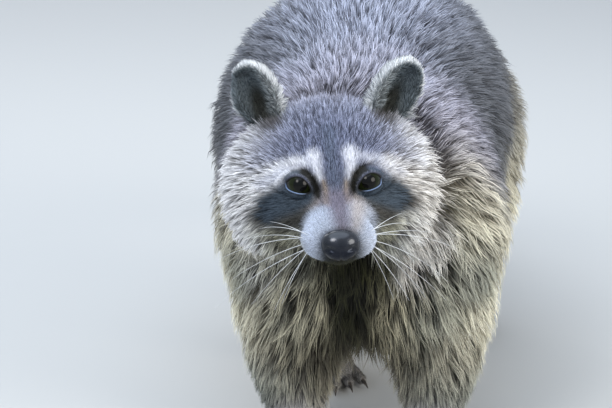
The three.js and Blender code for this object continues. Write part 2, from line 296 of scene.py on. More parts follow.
# ---- Where things are ----
@dataclass(frozen=True)
class HeadFrame:
    """The head's own axes: origin midway between the eyes, -Y forward, +Z up, +X to its left."""

    origin: Array
    axes: Array

    @classmethod
    def from_boxes(cls) -> "HeadFrame":
        """Finds the axes from the boxes of the eyes and the nose.

        Returns:
            The head's frame.
        """
        left, right, nose = (
            sum((np.array(c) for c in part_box(n)), np.zeros(3)) / 2 / MM
            for n in ("eye_left", "eye_right", "nose")
        )
        origin = (left + right) / 2
        across = unit(left - right)
        ahead = nose - origin
        ahead = unit(ahead - across * (ahead @ across))
        third = np.cross(across, ahead)
        c, s = math.cos(FACE_TILT), math.sin(FACE_TILT)
        return cls(origin, np.array([across, -c * ahead + s * third, -s * ahead - c * third]))

    def out(self, points: Array) -> Array:
        """Head places to the animal's frame."""
        return self.origin + points @ self.axes

    def back(self, points: Array) -> Array:
        """Places in the animal's frame to the head's."""
        return (points - self.origin) @ self.axes.T

    def turned(self, directions: Array) -> Array:
        """Head directions to the animal's frame."""
        return directions @ self.axes


@dataclass(frozen=True)
class Landmarks:
    """The head's axes and the boxes of the solids."""

    head: HeadFrame
    boxes: dict[str, tuple[Array, Array]]

    @classmethod
    def read(cls, nodes: dict[str, Piece]) -> "Landmarks":
        """Reads the boxes of all the solids."""
        boxes = {n: tuple(np.array(c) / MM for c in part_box(n)) for n in nodes}
        return cls(HeadFrame.from_boxes(), boxes)

    def place(self, node: str, at: Triple) -> Array:
        """A place given in shares of a solid's box, or in millimetres along the head's own axes.

        Args:
            node: the solid's name, or HEAD.
            at: the shares or millimetres.

        Returns:
            The place, in the animal's frame.
        """
        if node == HEAD:
            return self.head.out(np.array(at, float))
        low, high = self.boxes[node]
        return low + (high - low) * np.array(at)

    def face_plane(self, points: Array) -> tuple[Array, Array, Array]:
        """Places on the plane of the face: across, up, and depth behind the eyes.

        Args:
            points: places in the animal's frame, n by 3.

        Returns:
            Three numbers for each place.
        """
        local = self.head.back(points)
        up = local[:, 2] * math.cos(FACE_TILT) + local[:, 1] * math.sin(FACE_TILT)
        return local[:, 0], up, local[:, 1]


# ---- Colours ----
def linear(red: float, green: float, blue: float) -> Triple:
    """A colour of 0 to 255 a channel as the renderer's linear shares."""
    shares = (c / 255.0 for c in (red, green, blue))
    return tuple(c / 12.92 if c <= 0.04045 else ((c + 0.055) / 1.055) ** 2.4 for c in shares)


@dataclass(frozen=True)
class Tone:
    """The colours of a patch of coat: of the underfur, of the tips, and the share of dark-tipped locks."""

    under: Triple
    tip: Triple
    pepper: float = 0.3


class Tones(Enum):
    """The raccoon's coat colours, 0 to 255 a channel; some also carry painted light or shade, as noted."""

    BACK = Tone((96, 98, 111), (190, 196, 217), 0.3)
    NAPE = Tone((98, 94, 102), (190, 188, 204), 0.3)
    CROWN = Tone((58, 60, 74), (170, 175, 198), 0.44)
    FOREHEAD = Tone((48, 52, 70), (146, 153, 182), 0.46)
    # the upper flank's grey: the coat's own darker tone, deepened as painted shade
    FLANK = Tone((52, 53, 57), (106, 108, 113), 0.3)
    LOW_FLANK = Tone((158, 147, 122), (250, 243, 218), 0.03)
    BELLY = Tone((100, 92, 78), (196, 188, 168), 0.1)
    # near black in the middle of the breast: the coat's own dark brown-grey, darkened as painted shade under
    # the head
    CHEST = Tone((8, 7, 2), (36, 37, 16), 0.3)
    CHEST_TAN = Tone((64, 59, 45), (206, 196, 167), 0.14)
    CHEST_SIDE = Tone((122, 114, 94), (234, 227, 204), 0.06)
    # painted shade under the chin, in dark olive
    THROAT = Tone((18, 17, 7), (64, 64, 34), 0.3)
    CHEEK = Tone((176, 174, 174), (249, 248, 250), 0.02)
    LOW_CHEEK = Tone((124, 120, 102), (246, 244, 226), 0.06)
    # painted shade under the muzzle, in dark olive
    CHIN = Tone((26, 25, 14), (112, 108, 78), 0.3)
    LEG = Tone((50, 52, 54), (144, 149, 140), 0.24)
    LEG_OUTER = Tone((142, 134, 111), (252, 246, 222), 0.02)
    PAW = Tone((104, 102, 104), (188, 186, 186), 0.15)
    HAUNCH = Tone((86, 81, 76), (190, 184, 168), 0.24)
    TAIL_PALE = Tone((110, 102, 92), (208, 202, 188), 0.12)
    TAIL_DARK = Tone((20, 18, 19), (54, 50, 52), 0.2)
    EAR_BACK = Tone((60, 58, 60), (172, 172, 178), 0.25)
    EAR_BOWL = Tone((54, 61, 64), (132, 143, 150), 0.22)
    EAR_DEEP = Tone((20, 18, 12), (50, 48, 37), 0.0)
    EAR_FRINGE = Tone((96, 100, 102), (222, 228, 230), 0.06)
    EAR_RIM = Tone((200, 204, 208), (250, 252, 255), 0.0)
    EAR_ROOT = Tone((30, 26, 22), (74, 68, 62), 0.2)
    WHITE = Tone((188, 190, 204), (242, 243, 250), 0.0)
    MASK = Tone((34, 42, 52), (74, 86, 98), 0.1)
    MASK_BROWN = Tone((34, 32, 28), (78, 76, 72), 0.1)
    OLIVE = Tone((58, 56, 40), (156, 153, 124), 0.15)
    LID = Tone((58, 60, 72), (124, 128, 146), 0.1)
    EYE_CORNER = Tone((16, 15, 12), (38, 36, 30), 0.0)
    STRIPE = Tone((40, 44, 58), (118, 128, 152), 0.3)
    TAN = Tone((76, 66, 57), (168, 152, 138), 0.16)
    BRIDGE = Tone((76, 70, 76), (132, 126, 142), 0.14)
    MUZZLE = Tone((124, 130, 144), (203, 211, 228), 0.03)
    PINK = Tone((130, 120, 118), (210, 200, 196), 0.03)
    # the cheek's white tinted and dimmed as painted warm light, used on the right side only
    CHEEK_IN_WARM_LIGHT = Tone((160, 154, 146), (236, 231, 224), 0.0)
    PADS = Tone((30, 27, 28), (38, 34, 35), 0.0)


@dataclass
class Shades:
    """Coat colours for many places: linear under and tip colours, n by 3, and dark-tipped shares."""

    under: Array
    tip: Array
    pepper: Array

    def cover(self, tone: Tones, weight: Array) -> None:
        """Lays a tone over what is there.

        Args:
            tone: the tone.
            weight: how much of it each place gets, 0 to 1.
        """
        w = weight[:, None]
        self.under = self.under * (1 - w) + w * np.array(linear(*tone.value.under))
        self.tip = self.tip * (1 - w) + w * np.array(linear(*tone.value.tip))
        self.pepper = self.pepper * (1 - weight) + weight * tone.value.pepper


# ---- Finishes ----
def feed(made: Node, **inputs: object) -> None:
    """Sets a node's inputs, each to a value or to another node's output.

    Args:
        made: the node.
        inputs: its inputs by name or number; a node as a value stands for its first output.
    """
    for key, value in inputs.items():
        socket = made.inputs[int(key) if key.isdigit() else key.replace("_", " ")]
        if isinstance(value, Node):
            value = value.outputs[0]
        if isinstance(value, bpy.types.NodeSocket):
            made.id_data.links.new(value, socket)
        else:
            socket.default_value = value


def node(tree: Tree, kind: str, **settings: object) -> Node:
    """A new node of a tree.

    Args:
        tree: the tree.
        kind: the node's type.
        settings: its properties, and its inputs with in_ before their names.

    Returns:
        The node.
    """
    made = tree.nodes.new(kind)
    inputs = {}
    for key, value in settings.items():
        if key.startswith("in_"):
            inputs[key[3:]] = value
        else:
            setattr(made, key, value)
    feed(made, **inputs)
    return made


def colour_stops(tree: Tree, share: object, stops: Stops, ease: str = "LINEAR") -> Node:
    """A node that turns a share from 0 to 1 into a colour.

    Args:
        tree: the tree.
        share: the node or output that gives the share.
        stops: places along the share and their linear colours.
        ease: how the colours run into one another.

    Returns:
        The node.
    """
    made = node(tree, "ShaderNodeValToRGB", in_Fac=share)
    band = made.color_ramp
    band.interpolation = ease
    for element, (at, colour) in zip(band.elements, (stops[0], stops[-1]), strict=True):
        element.position, element.color = at, (*colour, 1)
    for at, colour in stops[1:-1]:
        band.elements.new(at).color = (*colour, 1)
    return made


def hair_grain() -> Tree:
    """The group that varies a coat's colour and gives it a fine grain.

    Returns:
        The group, made at its first use.
    """
    tree = bpy.data.node_groups.get("hair grain")
    if tree:
        return tree
    tree = bpy.data.node_groups.new("hair grain", "ShaderNodeTree")
    for names, way in ((("Colour", "Scale", "Amount"), "INPUT"), (("Colour", "Height"), "OUTPUT")):
        for name in names:
            kind = "Color" if name == "Colour" else "Float"
            tree.interface.new_socket(name, in_out=way, socket_type=f"NodeSocket{kind}")
    given = tree.nodes.new("NodeGroupInput").outputs
    place = node(tree, "ShaderNodeTexCoord").outputs["Object"]
    noise = node(
        tree, "ShaderNodeTexNoise", in_Vector=place, in_Scale=given["Scale"], in_Detail=3.0, in_Roughness=0.6
    )
    centred = node(tree, "ShaderNodeMath", operation="SUBTRACT", in_0=noise, in_1=0.5)
    amount = given["Amount"]
    scaled = node(tree, "ShaderNodeMath", operation="MULTIPLY_ADD", in_0=centred, in_1=amount, in_2=1.0)
    tint = node(tree, "ShaderNodeVectorMath", operation="SCALE", in_0=given["Colour"], in_Scale=scaled)
    node(tree, "NodeGroupOutput", in_Colour=tint, in_Height=noise)
    return tree


class Finish:
    """A finish, whose material is made at its first use."""

    name: str

    def material(self) -> bpy.types.Material:
        """The finish's material.

        Returns:
            The material, shared by every piece that wears the finish.
        """
        made = bpy.data.materials.get(self.name)
        if not made:
            made = bpy.data.materials.new(self.name)
            made.use_nodes = True
            self.wire(made.node_tree, made.node_tree.nodes["Principled BSDF"])
        return made

    def wire(self, tree: Tree, shader: Node) -> None:
        """Sets up the shader; every finish has its own way."""
        raise NotImplementedError


@dataclass(frozen=True)
class CoatFinish(Finish):
    """The finish of skin and hair: the markings' colours with a fine grain."""

    name: str
    roughness: float = 0.62
    specular: float = 0.22
    grain: float = 900.0
    amount: float = 0.5
    bump: float = 0.0
    bump_height: float = 0.001

    def wire(self, tree: Tree, shader: Node) -> None:
        """Colours the shader by the piece's coat colours.

        Args:
            tree: the material's tree.
            shader: its shader.
        """
        colour = node(tree, "ShaderNodeVertexColor", layer_name="coat_colour")
        grain = node(
            tree,
            "ShaderNodeGroup",
            node_tree=hair_grain(),
            in_Colour=colour,
            in_Scale=self.grain,
            in_Amount=self.amount,
        )
        feed(shader, Roughness=self.roughness, Specular_IOR_Level=self.specular, Base_Color=grain)
        if self.bump:
            height = grain.outputs["Height"]
            bump = node(
                tree, "ShaderNodeBump", in_Strength=self.bump, in_Distance=self.bump_height, in_Height=height
            )
            feed(shader, Normal=bump)


@dataclass(frozen=True)
class EyeFinish(Finish):
    """A wet, nearly black-brown eye with a darker pupil and a paler ring round the iris."""

    name: str = "wet eye"
    roughness: float = 0.05
    specular: float = 0.17
    mottle: float = 0.6
    mottle_scale: float = 90.0
    rings: Stops = (
        (0.0, (0.004, 0.004, 0.004)),
        (0.17, (0.004, 0.004, 0.004)),
        (0.19, (0.010, 0.013, 0.003)),
        (0.33, (0.016, 0.021, 0.005)),
        (0.37, (0.006, 0.005, 0.004)),
        (0.42, (0.03, 0.025, 0.02)),
        (1.0, (0.10, 0.08, 0.07)),
    )

    def wire(self, tree: Tree, shader: Node) -> None:
        """Colours the eye by the share from the pupil outwards, which its UV map holds.

        Args:
            tree: the material's tree.
            shader: its shader.
        """
        place = node(tree, "ShaderNodeUVMap", uv_map="iris")
        share = node(tree, "ShaderNodeSeparateXYZ", in_Vector=place).outputs["Y"]
        noise = node(tree, "ShaderNodeTexNoise", in_Vector=place, in_Scale=self.mottle_scale, in_Detail=4.0)
        mix = node(
            tree,
            "ShaderNodeMix",
            data_type="RGBA",
            blend_type="MULTIPLY",
            in_Factor=self.mottle,
            in_A=colour_stops(tree, share, self.rings),
            in_B=noise.outputs["Color"],
        )
        feed(shader, Roughness=self.roughness, Specular_IOR_Level=self.specular)
        feed(shader, Base_Color=mix.outputs["Result"])


@dataclass(frozen=True)
class NoseFinish(Finish):
    """Moist pebbled black skin, wetter and shinier above than below."""

    name: str = "moist nose leather"
    roughness: tuple[float, float] = (0.16, 0.3)
    specular: float = 0.22
    tint: Triple = (0.56, 0.7, 1.0)
    drying: tuple[float, float] = (0.2, 0.209)
    shine: tuple[float, float] = (0.0, 0.75)
    shine_ior: float = 1.6
    shine_roughness: float = 0.2
    pebbles: float = 1300.0
    pebble_depth: float = 0.0003
    colours: Stops = ((0.35, (0.003, 0.003, 0.004)), (0.75, (0.010, 0.010, 0.013)))

    def wire(self, tree: Tree, shader: Node) -> None:
        """Gives the skin blotches, pebbles and a moist film that thins out downwards.

        Args:
            tree: the material's tree.
            shader: its shader.
        """
        place = node(tree, "ShaderNodeTexCoord").outputs["Object"]
        height = node(tree, "ShaderNodeSeparateXYZ", in_Vector=place).outputs["Z"]
        moist = self.span(tree, height, self.shine)
        feed(moist, From_Min=self.drying[0], From_Max=self.drying[1])
        pebbles = node(tree, "ShaderNodeTexVoronoi", in_Vector=place, in_Scale=self.pebbles)
        blotch = node(tree, "ShaderNodeTexNoise", in_Vector=place, in_Scale=220.0, in_Detail=3.0)
        bump = node(tree, "ShaderNodeBump", in_Strength=0.2, in_Distance=self.pebble_depth, in_Height=pebbles)
        feed(shader, Specular_Tint=(*self.tint, 1), Specular_IOR_Level=self.specular)
        feed(shader, Coat_Weight=moist, Coat_IOR=self.shine_ior, Coat_Roughness=self.shine_roughness)
        feed(shader, Base_Color=colour_stops(tree, blotch, self.colours), Normal=bump)
        feed(shader, Roughness=self.span(tree, blotch, self.roughness))

    def span(self, tree: Tree, share: object, ends: tuple[float, float]) -> Node:
        """A node that runs from one end to the other as the share grows."""
        return node(tree, "ShaderNodeMapRange", in_Value=share, in_To_Min=ends[0], in_To_Max=ends[1])


@dataclass(frozen=True)
class HornFinish(Finish):
    """Smooth horn, its colour clouded: claws and whiskers."""

    name: str
    dark: Triple
    pale: Triple
    roughness: float
    scale: float = 120.0

    def wire(self, tree: Tree, shader: Node) -> None:
        """Clouds the horn from the dark to the pale colour.

        Args:
            tree: the material's tree.
            shader: its shader.
        """
        place = node(tree, "ShaderNodeTexCoord").outputs["Object"]
        cloud = node(tree, "ShaderNodeTexNoise", in_Vector=place, in_Scale=self.scale, in_Detail=3.0)
        colour = colour_stops(tree, cloud, ((0.35, linear(*self.dark)), (0.7, linear(*self.pale))))
        feed(shader, Roughness=self.roughness, Base_Color=colour)


@dataclass(frozen=True)
class FloorFinish(Finish):
    """Matt paper, a little darker in a ring round the animal and paler far off."""

    name: str = "floor paint"
    roughness: float = 0.9
    specular: float = 0.2
    reach: float = 9.0
    shades: Stops = ((0.08, (0.52, 0.52, 0.51)), (0.2, (0.43, 0.43, 0.425)), (1.0, (0.96, 0.96, 0.96)))

    def wire(self, tree: Tree, shader: Node) -> None:
        """Shades the paper by its distance from the animal.

        Args:
            tree: the material's tree.
            shader: its shader.
        """
        place = node(tree, "ShaderNodeTexCoord").outputs["Object"]
        away = node(tree, "ShaderNodeVectorMath", operation="LENGTH", in_0=place).outputs["Value"]
        fade = node(tree, "ShaderNodeMapRange", in_Value=away, in_From_Max=self.reach)
        feed(shader, Roughness=self.roughness, Specular_IOR_Level=self.specular)
        feed(shader, Base_Color=colour_stops(tree, fade, self.shades, "EASE"))


# ---- The lie of the coat ----
@dataclass(frozen=True)
class Guide:
    """How the coat lies round one place.

    at is in shares of the named solid's box, or in millimetres on the head's own axes, and flow in the
    same axes. depth is how far the skin lies under the coat's outer surface.
    """

    node: str
    at: Triple
    flow: Triple
    length: float
    depth: float
    reach: float
    tone: Tones
    paired: bool = True

    def other_side(self) -> "Guide":
        """The same guide on the animal's other side.

        Returns:
            The mirrored guide.
        """
        x, y, z = self.at
        solid = self.node.replace("left", "~").replace("right", "left").replace("~", "right")
        flow = (-self.flow[0], *self.flow[1:])
        return replace(self, node=solid, at=(-x if self.node == HEAD else 1 - x, y, z), flow=flow)


def head_guides() -> list[Guide]:
    """The lie of the coat on the head: away from the nose and the eyes, over the crown to the nape.

    Returns:
        The guides, those of the left side standing for both.
    """
    t = Tones
    middle = [
        ((0, -50, -11), (0, 0.9, 0.45), 3.0, 1.1, 6, t.BRIDGE),
        ((0, -34, -6), (0, 0.9, 0.45), 4.2, 1.6, 9, t.BRIDGE),
        ((0, -16, 2), (0, 0.6, 0.8), 5.5, 2.2, 9, t.STRIPE),
        ((0, 0, 17), (0, 0.45, 0.9), 7.5, 3.6, 11, t.FOREHEAD),
        ((0, 18, 34), (0, 0.85, 0.5), 9.5, 5, 14, t.FOREHEAD),
        ((0, 48, 44), (0, 1, 0), 13, 7, 18, t.CROWN),
        ((0, 84, 36), (0, 0.95, -0.2), 20, 11, 20, t.NAPE),
        ((0, -38, -46), (0, 0.6, -0.8), 7, 2.6, 8, t.CHIN),
        ((0, -14, -58), (0, 0.55, -0.85), 18, 8, 13, t.CHIN),
        ((0, 20, -68), (0, 0.35, -0.95), 34, 14, 18, t.THROAT),
    ]
    sides = [
        ((9, -50, -16), (0.5, 0.8, 0.2), 3.0, 1.1, 6, t.MUZZLE),
        ((19, -38, -24), (0.45, 0.85, -0.1), 4.0, 1.5, 8, t.MUZZLE),
        ((12, -44, -36), (0.35, 0.8, -0.4), 4.0, 1.5, 7, t.MUZZLE),
        ((22, -22, -36), (0.5, 0.75, -0.4), 6.5, 2.6, 9, t.CHIN),
        ((11, -14, -9), (0.35, 0.8, 0.3), 4.4, 1.7, 7, t.TAN),
        ((12, -8, 4), (-0.1, 0.5, 0.85), 5, 2.0, 7, t.EYE_CORNER),
        ((14, -4, 15), (0.15, 0.4, 0.9), 7, 3.2, 9, t.FOREHEAD),
        ((27, -6, 11), (0.45, 0.4, 0.75), 5.5, 2.2, 8, t.FOREHEAD),
        ((38, -1, 4), (0.8, 0.5, 0.25), 6, 2.4, 8, t.MASK),
        ((27, -8, -12), (0.6, 0.6, -0.45), 4.4, 1.7, 8, t.MASK),
        ((40, 2, -16), (0.8, 0.5, -0.3), 7, 3.2, 10, t.MASK),
        ((30, 8, 24), (0.45, 0.6, 0.6), 9, 4.6, 12, t.FOREHEAD),
        ((46, 18, 16), (0.75, 0.6, 0.15), 11, 5.5, 13, t.CROWN),
        ((32, 38, 42), (0.3, 0.85, 0.35), 10, 5, 14, t.CROWN),
        ((53, 14, -12), (0.75, 0.55, -0.3), 15, 7, 12, t.CHEEK),
        ((66, 34, -14), (0.66, 0.5, -0.5), 28, 12, 16, t.CHEEK),
        ((62, 46, 14), (0.55, 0.75, -0.3), 21, 9, 15, t.CHEEK),
        ((45, 10, -36), (0.65, 0.45, -0.6), 15, 7, 12, t.LOW_CHEEK),
        ((60, 28, -46), (0.6, 0.35, -0.72), 32, 13, 16, t.CHEEK),
        ((36, 14, -58), (0.42, 0.35, -0.85), 31, 12, 14, t.LOW_CHEEK),
        ((62, 70, -10), (0.25, 0.75, -0.6), 26, 13, 18, t.NAPE),
        ((46, 60, 30), (0.2, 0.3, 0.95), 6.0, 2.4, 9, t.EAR_BACK),
        ((50, 56, 50), (0.3, 0.0, 0.95), 4.2, 1.1, 14, t.EAR_BACK),
    ]
    found = [Guide(HEAD, at, *rest, paired=False) for at, *rest in middle]
    return found + [Guide(HEAD, at, *rest) for at, *rest in sides]


def body_guides() -> list[Guide]:
    """The lie of the coat on the neck, trunk, legs, paws and tail: backwards and down.

    Returns:
        The guides, those of the left side standing for both.
    """
    t = Tones
    middle = [
        ("neck", (0.5, 0.6, 0.98), (0, 1, 0.05), 26, 13, 26, t.NAPE),
        ("neck", (0.5, 0.2, 0.1), (0, 0.0, -1), 42, 15, 20, t.THROAT),
        ("chest", (0.5, 0.5, 1), (0, 1, -0.05), 29, 14, 45, t.BACK),
        ("chest", (0.5, 0.04, 0.6), (0, 0.0, -1), 44, 17, 17, t.CHEST),
        ("chest", (0.5, 0.1, 0.15), (0, 0.1, -1), 42, 16, 19, t.CHEST),
        ("chest", (0.5, 0.6, 0), (0, 0.8, -0.5), 32, 15, 40, t.BELLY),
        ("abdomen", (0.5, 0.3, 1), (0, 1, -0.05), 31, 15, 50, t.BACK),
        ("abdomen", (0.5, 0.8, 0.92), (0, 0.9, -0.4), 33, 15, 40, t.BACK),
        ("abdomen", (0.5, 0.5, 0), (0, 0.8, -0.5), 32, 14, 50, t.BELLY),
        ("abdomen", (0.5, 1, 0.3), (0, 0.4, -0.9), 33, 15, 30, t.HAUNCH),
    ]
    sides = [
        ("neck", (0.92, 0.5, 0.65), (0.15, 0.65, -0.75), 30, 14, 26, t.NAPE),
        ("neck", (0.82, 0.35, 0.2), (0.7, 0.1, -0.72), 44, 16, 20, t.CHEST_SIDE),
        ("chest", (0.66, 0.05, 0.6), (0.5, 0.0, -0.87), 47, 17, 17, t.CHEST_TAN),
        ("chest", (0.66, 0.08, 0.2), (0.42, 0.05, -0.9), 44, 16, 18, t.CHEST_TAN),
        ("chest", (0.9, 0.1, 0.55), (0.8, 0.1, -0.6), 46, 17, 22, t.CHEST_SIDE),
        ("chest", (0.88, 0.12, 0.15), (0.6, 0.1, -0.8), 42, 15, 18, t.CHEST_SIDE),
        ("chest", (0.98, 0.55, 0.62), (0.08, 0.6, -0.8), 33, 16, 38, t.FLANK),
        ("chest", (0.94, 0.6, 0.25), (0.1, 0.45, -0.9), 34, 15, 30, t.LOW_FLANK),
        ("abdomen", (0.99, 0.3, 0.6), (0.05, 0.65, -0.75), 34, 17, 45, t.FLANK),
        # a darker saddle along the upper flank: the coat's own darker back, deepened as painted shade
        ("chest", (0.92, 0.55, 0.86), (0.1, 0.85, -0.45), 31, 15, 34, t.FLANK),
        ("abdomen", (0.92, 0.3, 0.84), (0.08, 0.85, -0.45), 33, 16, 38, t.FLANK),
        ("abdomen", (0.93, 0.3, 0.22), (0, 0.6, -0.85), 34, 16, 38, t.LOW_FLANK),
        ("abdomen", (0.92, 0.9, 0.5), (0.05, 0.5, -0.85), 34, 16, 35, t.HAUNCH),
        ("foreleg_left", (0.35, 0.15, 0.8), (0.45, 0.0, -0.9), 38, 13, 15, t.LEG),
        ("foreleg_left", (0.75, 0.15, 0.7), (0.55, 0.0, -0.84), 36, 13, 15, t.LEG),
        ("foreleg_left", (0.98, 0.5, 0.65), (0.6, 0.1, -0.8), 34, 13, 18, t.LEG_OUTER),
        ("foreleg_left", (0.35, 0.1, 0.5), (0.3, 0.0, -0.95), 27, 10, 13, t.LEG),
        ("foreleg_left", (0.8, 0.35, 0.42), (0.35, 0.05, -0.93), 24, 9, 13, t.LEG_OUTER),
        ("foreleg_left", (0.5, 0.4, 0.25), (0.1, 0.05, -1), 16, 7, 14, t.LEG),
        ("foreleg_left", (0.45, 0.5, 0.05), (0, 0.02, -1), 9, 4, 13, t.LEG),
        ("hindleg_left", (0.9, 0.5, 0.75), (0.05, 0.3, -0.95), 32, 15, 28, t.HAUNCH),
        ("hindleg_left", (0.6, 0.4, 0.45), (0, 0.2, -1), 24, 11, 22, t.LEG_OUTER),
        ("hindleg_left", (0.45, 0.75, 0.1), (0, 0, -1), 12, 5, 16, t.LEG),
        ("forepaw_left", (0.42, 0.7, 0.8), (0, -0.5, -0.6), 6, 2, 10, t.PAW),
        ("forepaw_left", (0.5, 0.25, 0.3), (0, -0.95, -0.25), 3.4, 1.0, 14, t.PAW),
        ("hindpaw_left", (0.4, 0.75, 0.8), (0, -0.4, -0.8), 7, 2, 10, t.PAW),
        ("hindpaw_left", (0.5, 0.3, 0.3), (0, -0.95, -0.25), 3.6, 1.0, 16, t.PAW),
    ]
    found = [Guide(*row, paired=False) for row in middle]
    return found + [Guide(*row) for row in sides]


TAIL_ROUTE = (
    (0.49, -0.1, 0.775),
    (0.5, 0.16, 0.635),
    (0.565, 0.445, 0.395),
    (0.635, 0.69, 0.205),
    (0.7, 0.9, 0.12),
)


@dataclass
class CoatPlan:
    """The lie, length, depth and base colours of the coat everywhere, blended from the guides."""

    marks: Landmarks
    tail_length: float = 36.0
    tail_depth: float = 20.0
    places: Array = field(init=False)

    def __post_init__(self) -> None:
        """Places the guides round the animal."""
        rows = head_guides() + body_guides()
        rows += [g.other_side() for g in rows if g.paired]
        self.places = np.array([self.marks.place(g.node, g.at) for g in rows])
        flows = [
            self.marks.head.turned(np.array(g.flow, float)) if g.node == HEAD else np.array(g.flow, float)
            for g in rows
        ]
        self.tail = np.array([self.marks.place("tail", at) for at in TAIL_ROUTE])
        self.flows = unit(np.array(flows))
        self.lengths = np.array([g.length for g in rows])
        self.depths = np.array([g.depth for g in rows])
        self.reaches = np.array([g.reach for g in rows])
        self.under = np.array([linear(*g.tone.value.under) for g in rows])
        self.tips = np.array([linear(*g.tone.value.tip) for g in rows])
        self.pepper = np.array([g.tone.value.pepper for g in rows])

    def weights(self, points: Array) -> Array:
        """How much each guide counts at each point; the weights of a point add up to one.

        Args:
            points: places, n by 3.

        Returns:
            Weights, n by the number of guides.
        """
        away = ((points[:, None, :] - self.places[None]) ** 2).sum(-1)
        power = -away / (2 * self.reaches**2)
        power -= power.max(axis=1, keepdims=True)
        w = np.exp(power)
        return (w / w.sum(axis=1, keepdims=True)).astype(np.float32)

    def in_batches(self, points: Array, table: Array) -> Array:
        """The guides' numbers blended at many points, a block of points at a time.

        Args:
            points: places, n by 3.
            table: the guides' numbers, a row for each.

        Returns:
            Blended rows, one for each point.
        """
        step = 60000
        return np.concatenate(
            [self.weights(points[k : k + step]) @ table for k in range(0, len(points), step)]
        )

    def tail_share(self, points: Array) -> tuple[Array, Array, Array]:
        """How far a point belongs to the tail, the place along it, and the tail's direction there.

        Args:
            points: places, n by 3.

        Returns:
            The share of belonging, the place along the tail and the direction.
        """
        away, share, heading = along_route(points, self.tail)
        belongs = ramp(75.0, 48.0, away) * ramp(0.02, 0.2, share)
        return belongs, share, heading

    def depth(self, points: Array) -> Array:
        """How far the skin lies under the solids' surface.

        Args:
            points: places, n by 3.

        Returns:
            A depth for each.
        """
        found = self.in_batches(points, self.depths[:, None].astype(np.float32))[:, 0]
        tail, _, _ = self.tail_share(points)
        return found * (1 - tail) + tail * self.tail_depth

    def lie(self, points: Array) -> tuple[Array, Array, Array]:
        """The coat's flow, hair length and depth at each point.

        Args:
            points: places, n by 3.

        Returns:
            Flow, n by 3, length and depth.
        """
        table = np.concatenate([self.flows, self.lengths[:, None], self.depths[:, None]], axis=1)
        found = self.in_batches(points, table.astype(np.float32)).astype(float)
        tail, _, heading = self.tail_share(points)
        flow = unit(found[:, :3] * (1 - tail[:, None]) + heading * tail[:, None])
        length = found[:, 3] * (1 - tail) + self.tail_length * tail
        depth = found[:, 4] * (1 - tail) + self.tail_depth * tail
        self.comb_lids(points, flow, length, depth)
        # short hair near the floor, on the paws
        length = np.minimum(length, np.interp(points[:, 2], [0, 12, 24, 40], [3.4, 4.2, 7.5, 60]))
        depth = np.minimum(depth, np.interp(points[:, 2], [0, 12, 24, 40], [0.8, 1.2, 3, 60]))
        return flow, length, depth

    def comb_lids(self, points: Array, flow: Array, length: Array, depth: Array) -> None:
        """Turns the coat away from the eyes, and shortens it, on and round the lids, in place.

        Args:
            points: places, n by 3.
            flow: the coat's flow there.
            length: its hair length.
            depth: its depth.
        """
        head = self.marks.head
        local = head.back(points)
        for eye in EYES:
            scale, out = eye.opening(local)
            near = (scale < 2.3) & (out > -12) & (np.linalg.norm(local - eye.centre, axis=1) < 24)
            away = local[near] - eye.centre
            away[:, 1] = 0
            share = ramp(2.3, 1.5, scale[near])[:, None]
            flow[near] = unit(flow[near] * (1 - share) + head.turned(unit(away)) * share)
            shortest = np.interp(scale[near], [1.1, 1.4, 1.8, 2.3], [1.8, 2.6, 4.0, 60.0])
            length[near] = np.minimum(length[near], shortest)
            depth[near] = np.minimum(depth[near], shortest * 0.32)

    def base_shades(self, points: Array) -> Shades:
        """The coat's colours before the markings are laid over them.

        Args:
            points: places, n by 3.

        Returns:
            The blended shades.
        """
        table = np.concatenate([self.under, self.tips, self.pepper[:, None]], axis=1)
        found = self.in_batches(points, table.astype(np.float32)).astype(float)
        return Shades(found[:, :3], found[:, 3:6], found[:, 6])


# ---- Markings ----
@dataclass(frozen=True)
class FaceMark:
    """A marking on the face: a route across and up the face's plane, as wide as its radii.

    It fades out between the two depths behind the eyes.
    """

    tone: Tones
    route: tuple[tuple[float, float], ...]
    radii: tuple[float, float]
    soft: float
    fade: tuple[float, float] = (34.0, 60.0)
    strength: float = 1.0
    front: tuple[float, float] = (-90.0, -80.0)

    def weight(self, across: Array, up: Array, depth: Array) -> Array:
        """How strongly the mark covers each place.

        Args:
            across: places across the face.
            up: how high they lie on it.
            depth: how far behind the eyes.

        Returns:
            A weight for each place, 0 to 1.
        """
        flat = np.stack([across, up], axis=1)
        away, share, _ = along_route(flat, np.array(self.route, float))
        radius = self.radii[0] + (self.radii[1] - self.radii[0]) * share
        inside = 1.0 - ramp(-self.soft, self.soft, away - radius)
        shown = (1.0 - ramp(*self.fade, depth)) * ramp(*self.front, depth)
        return inside * shown * self.strength


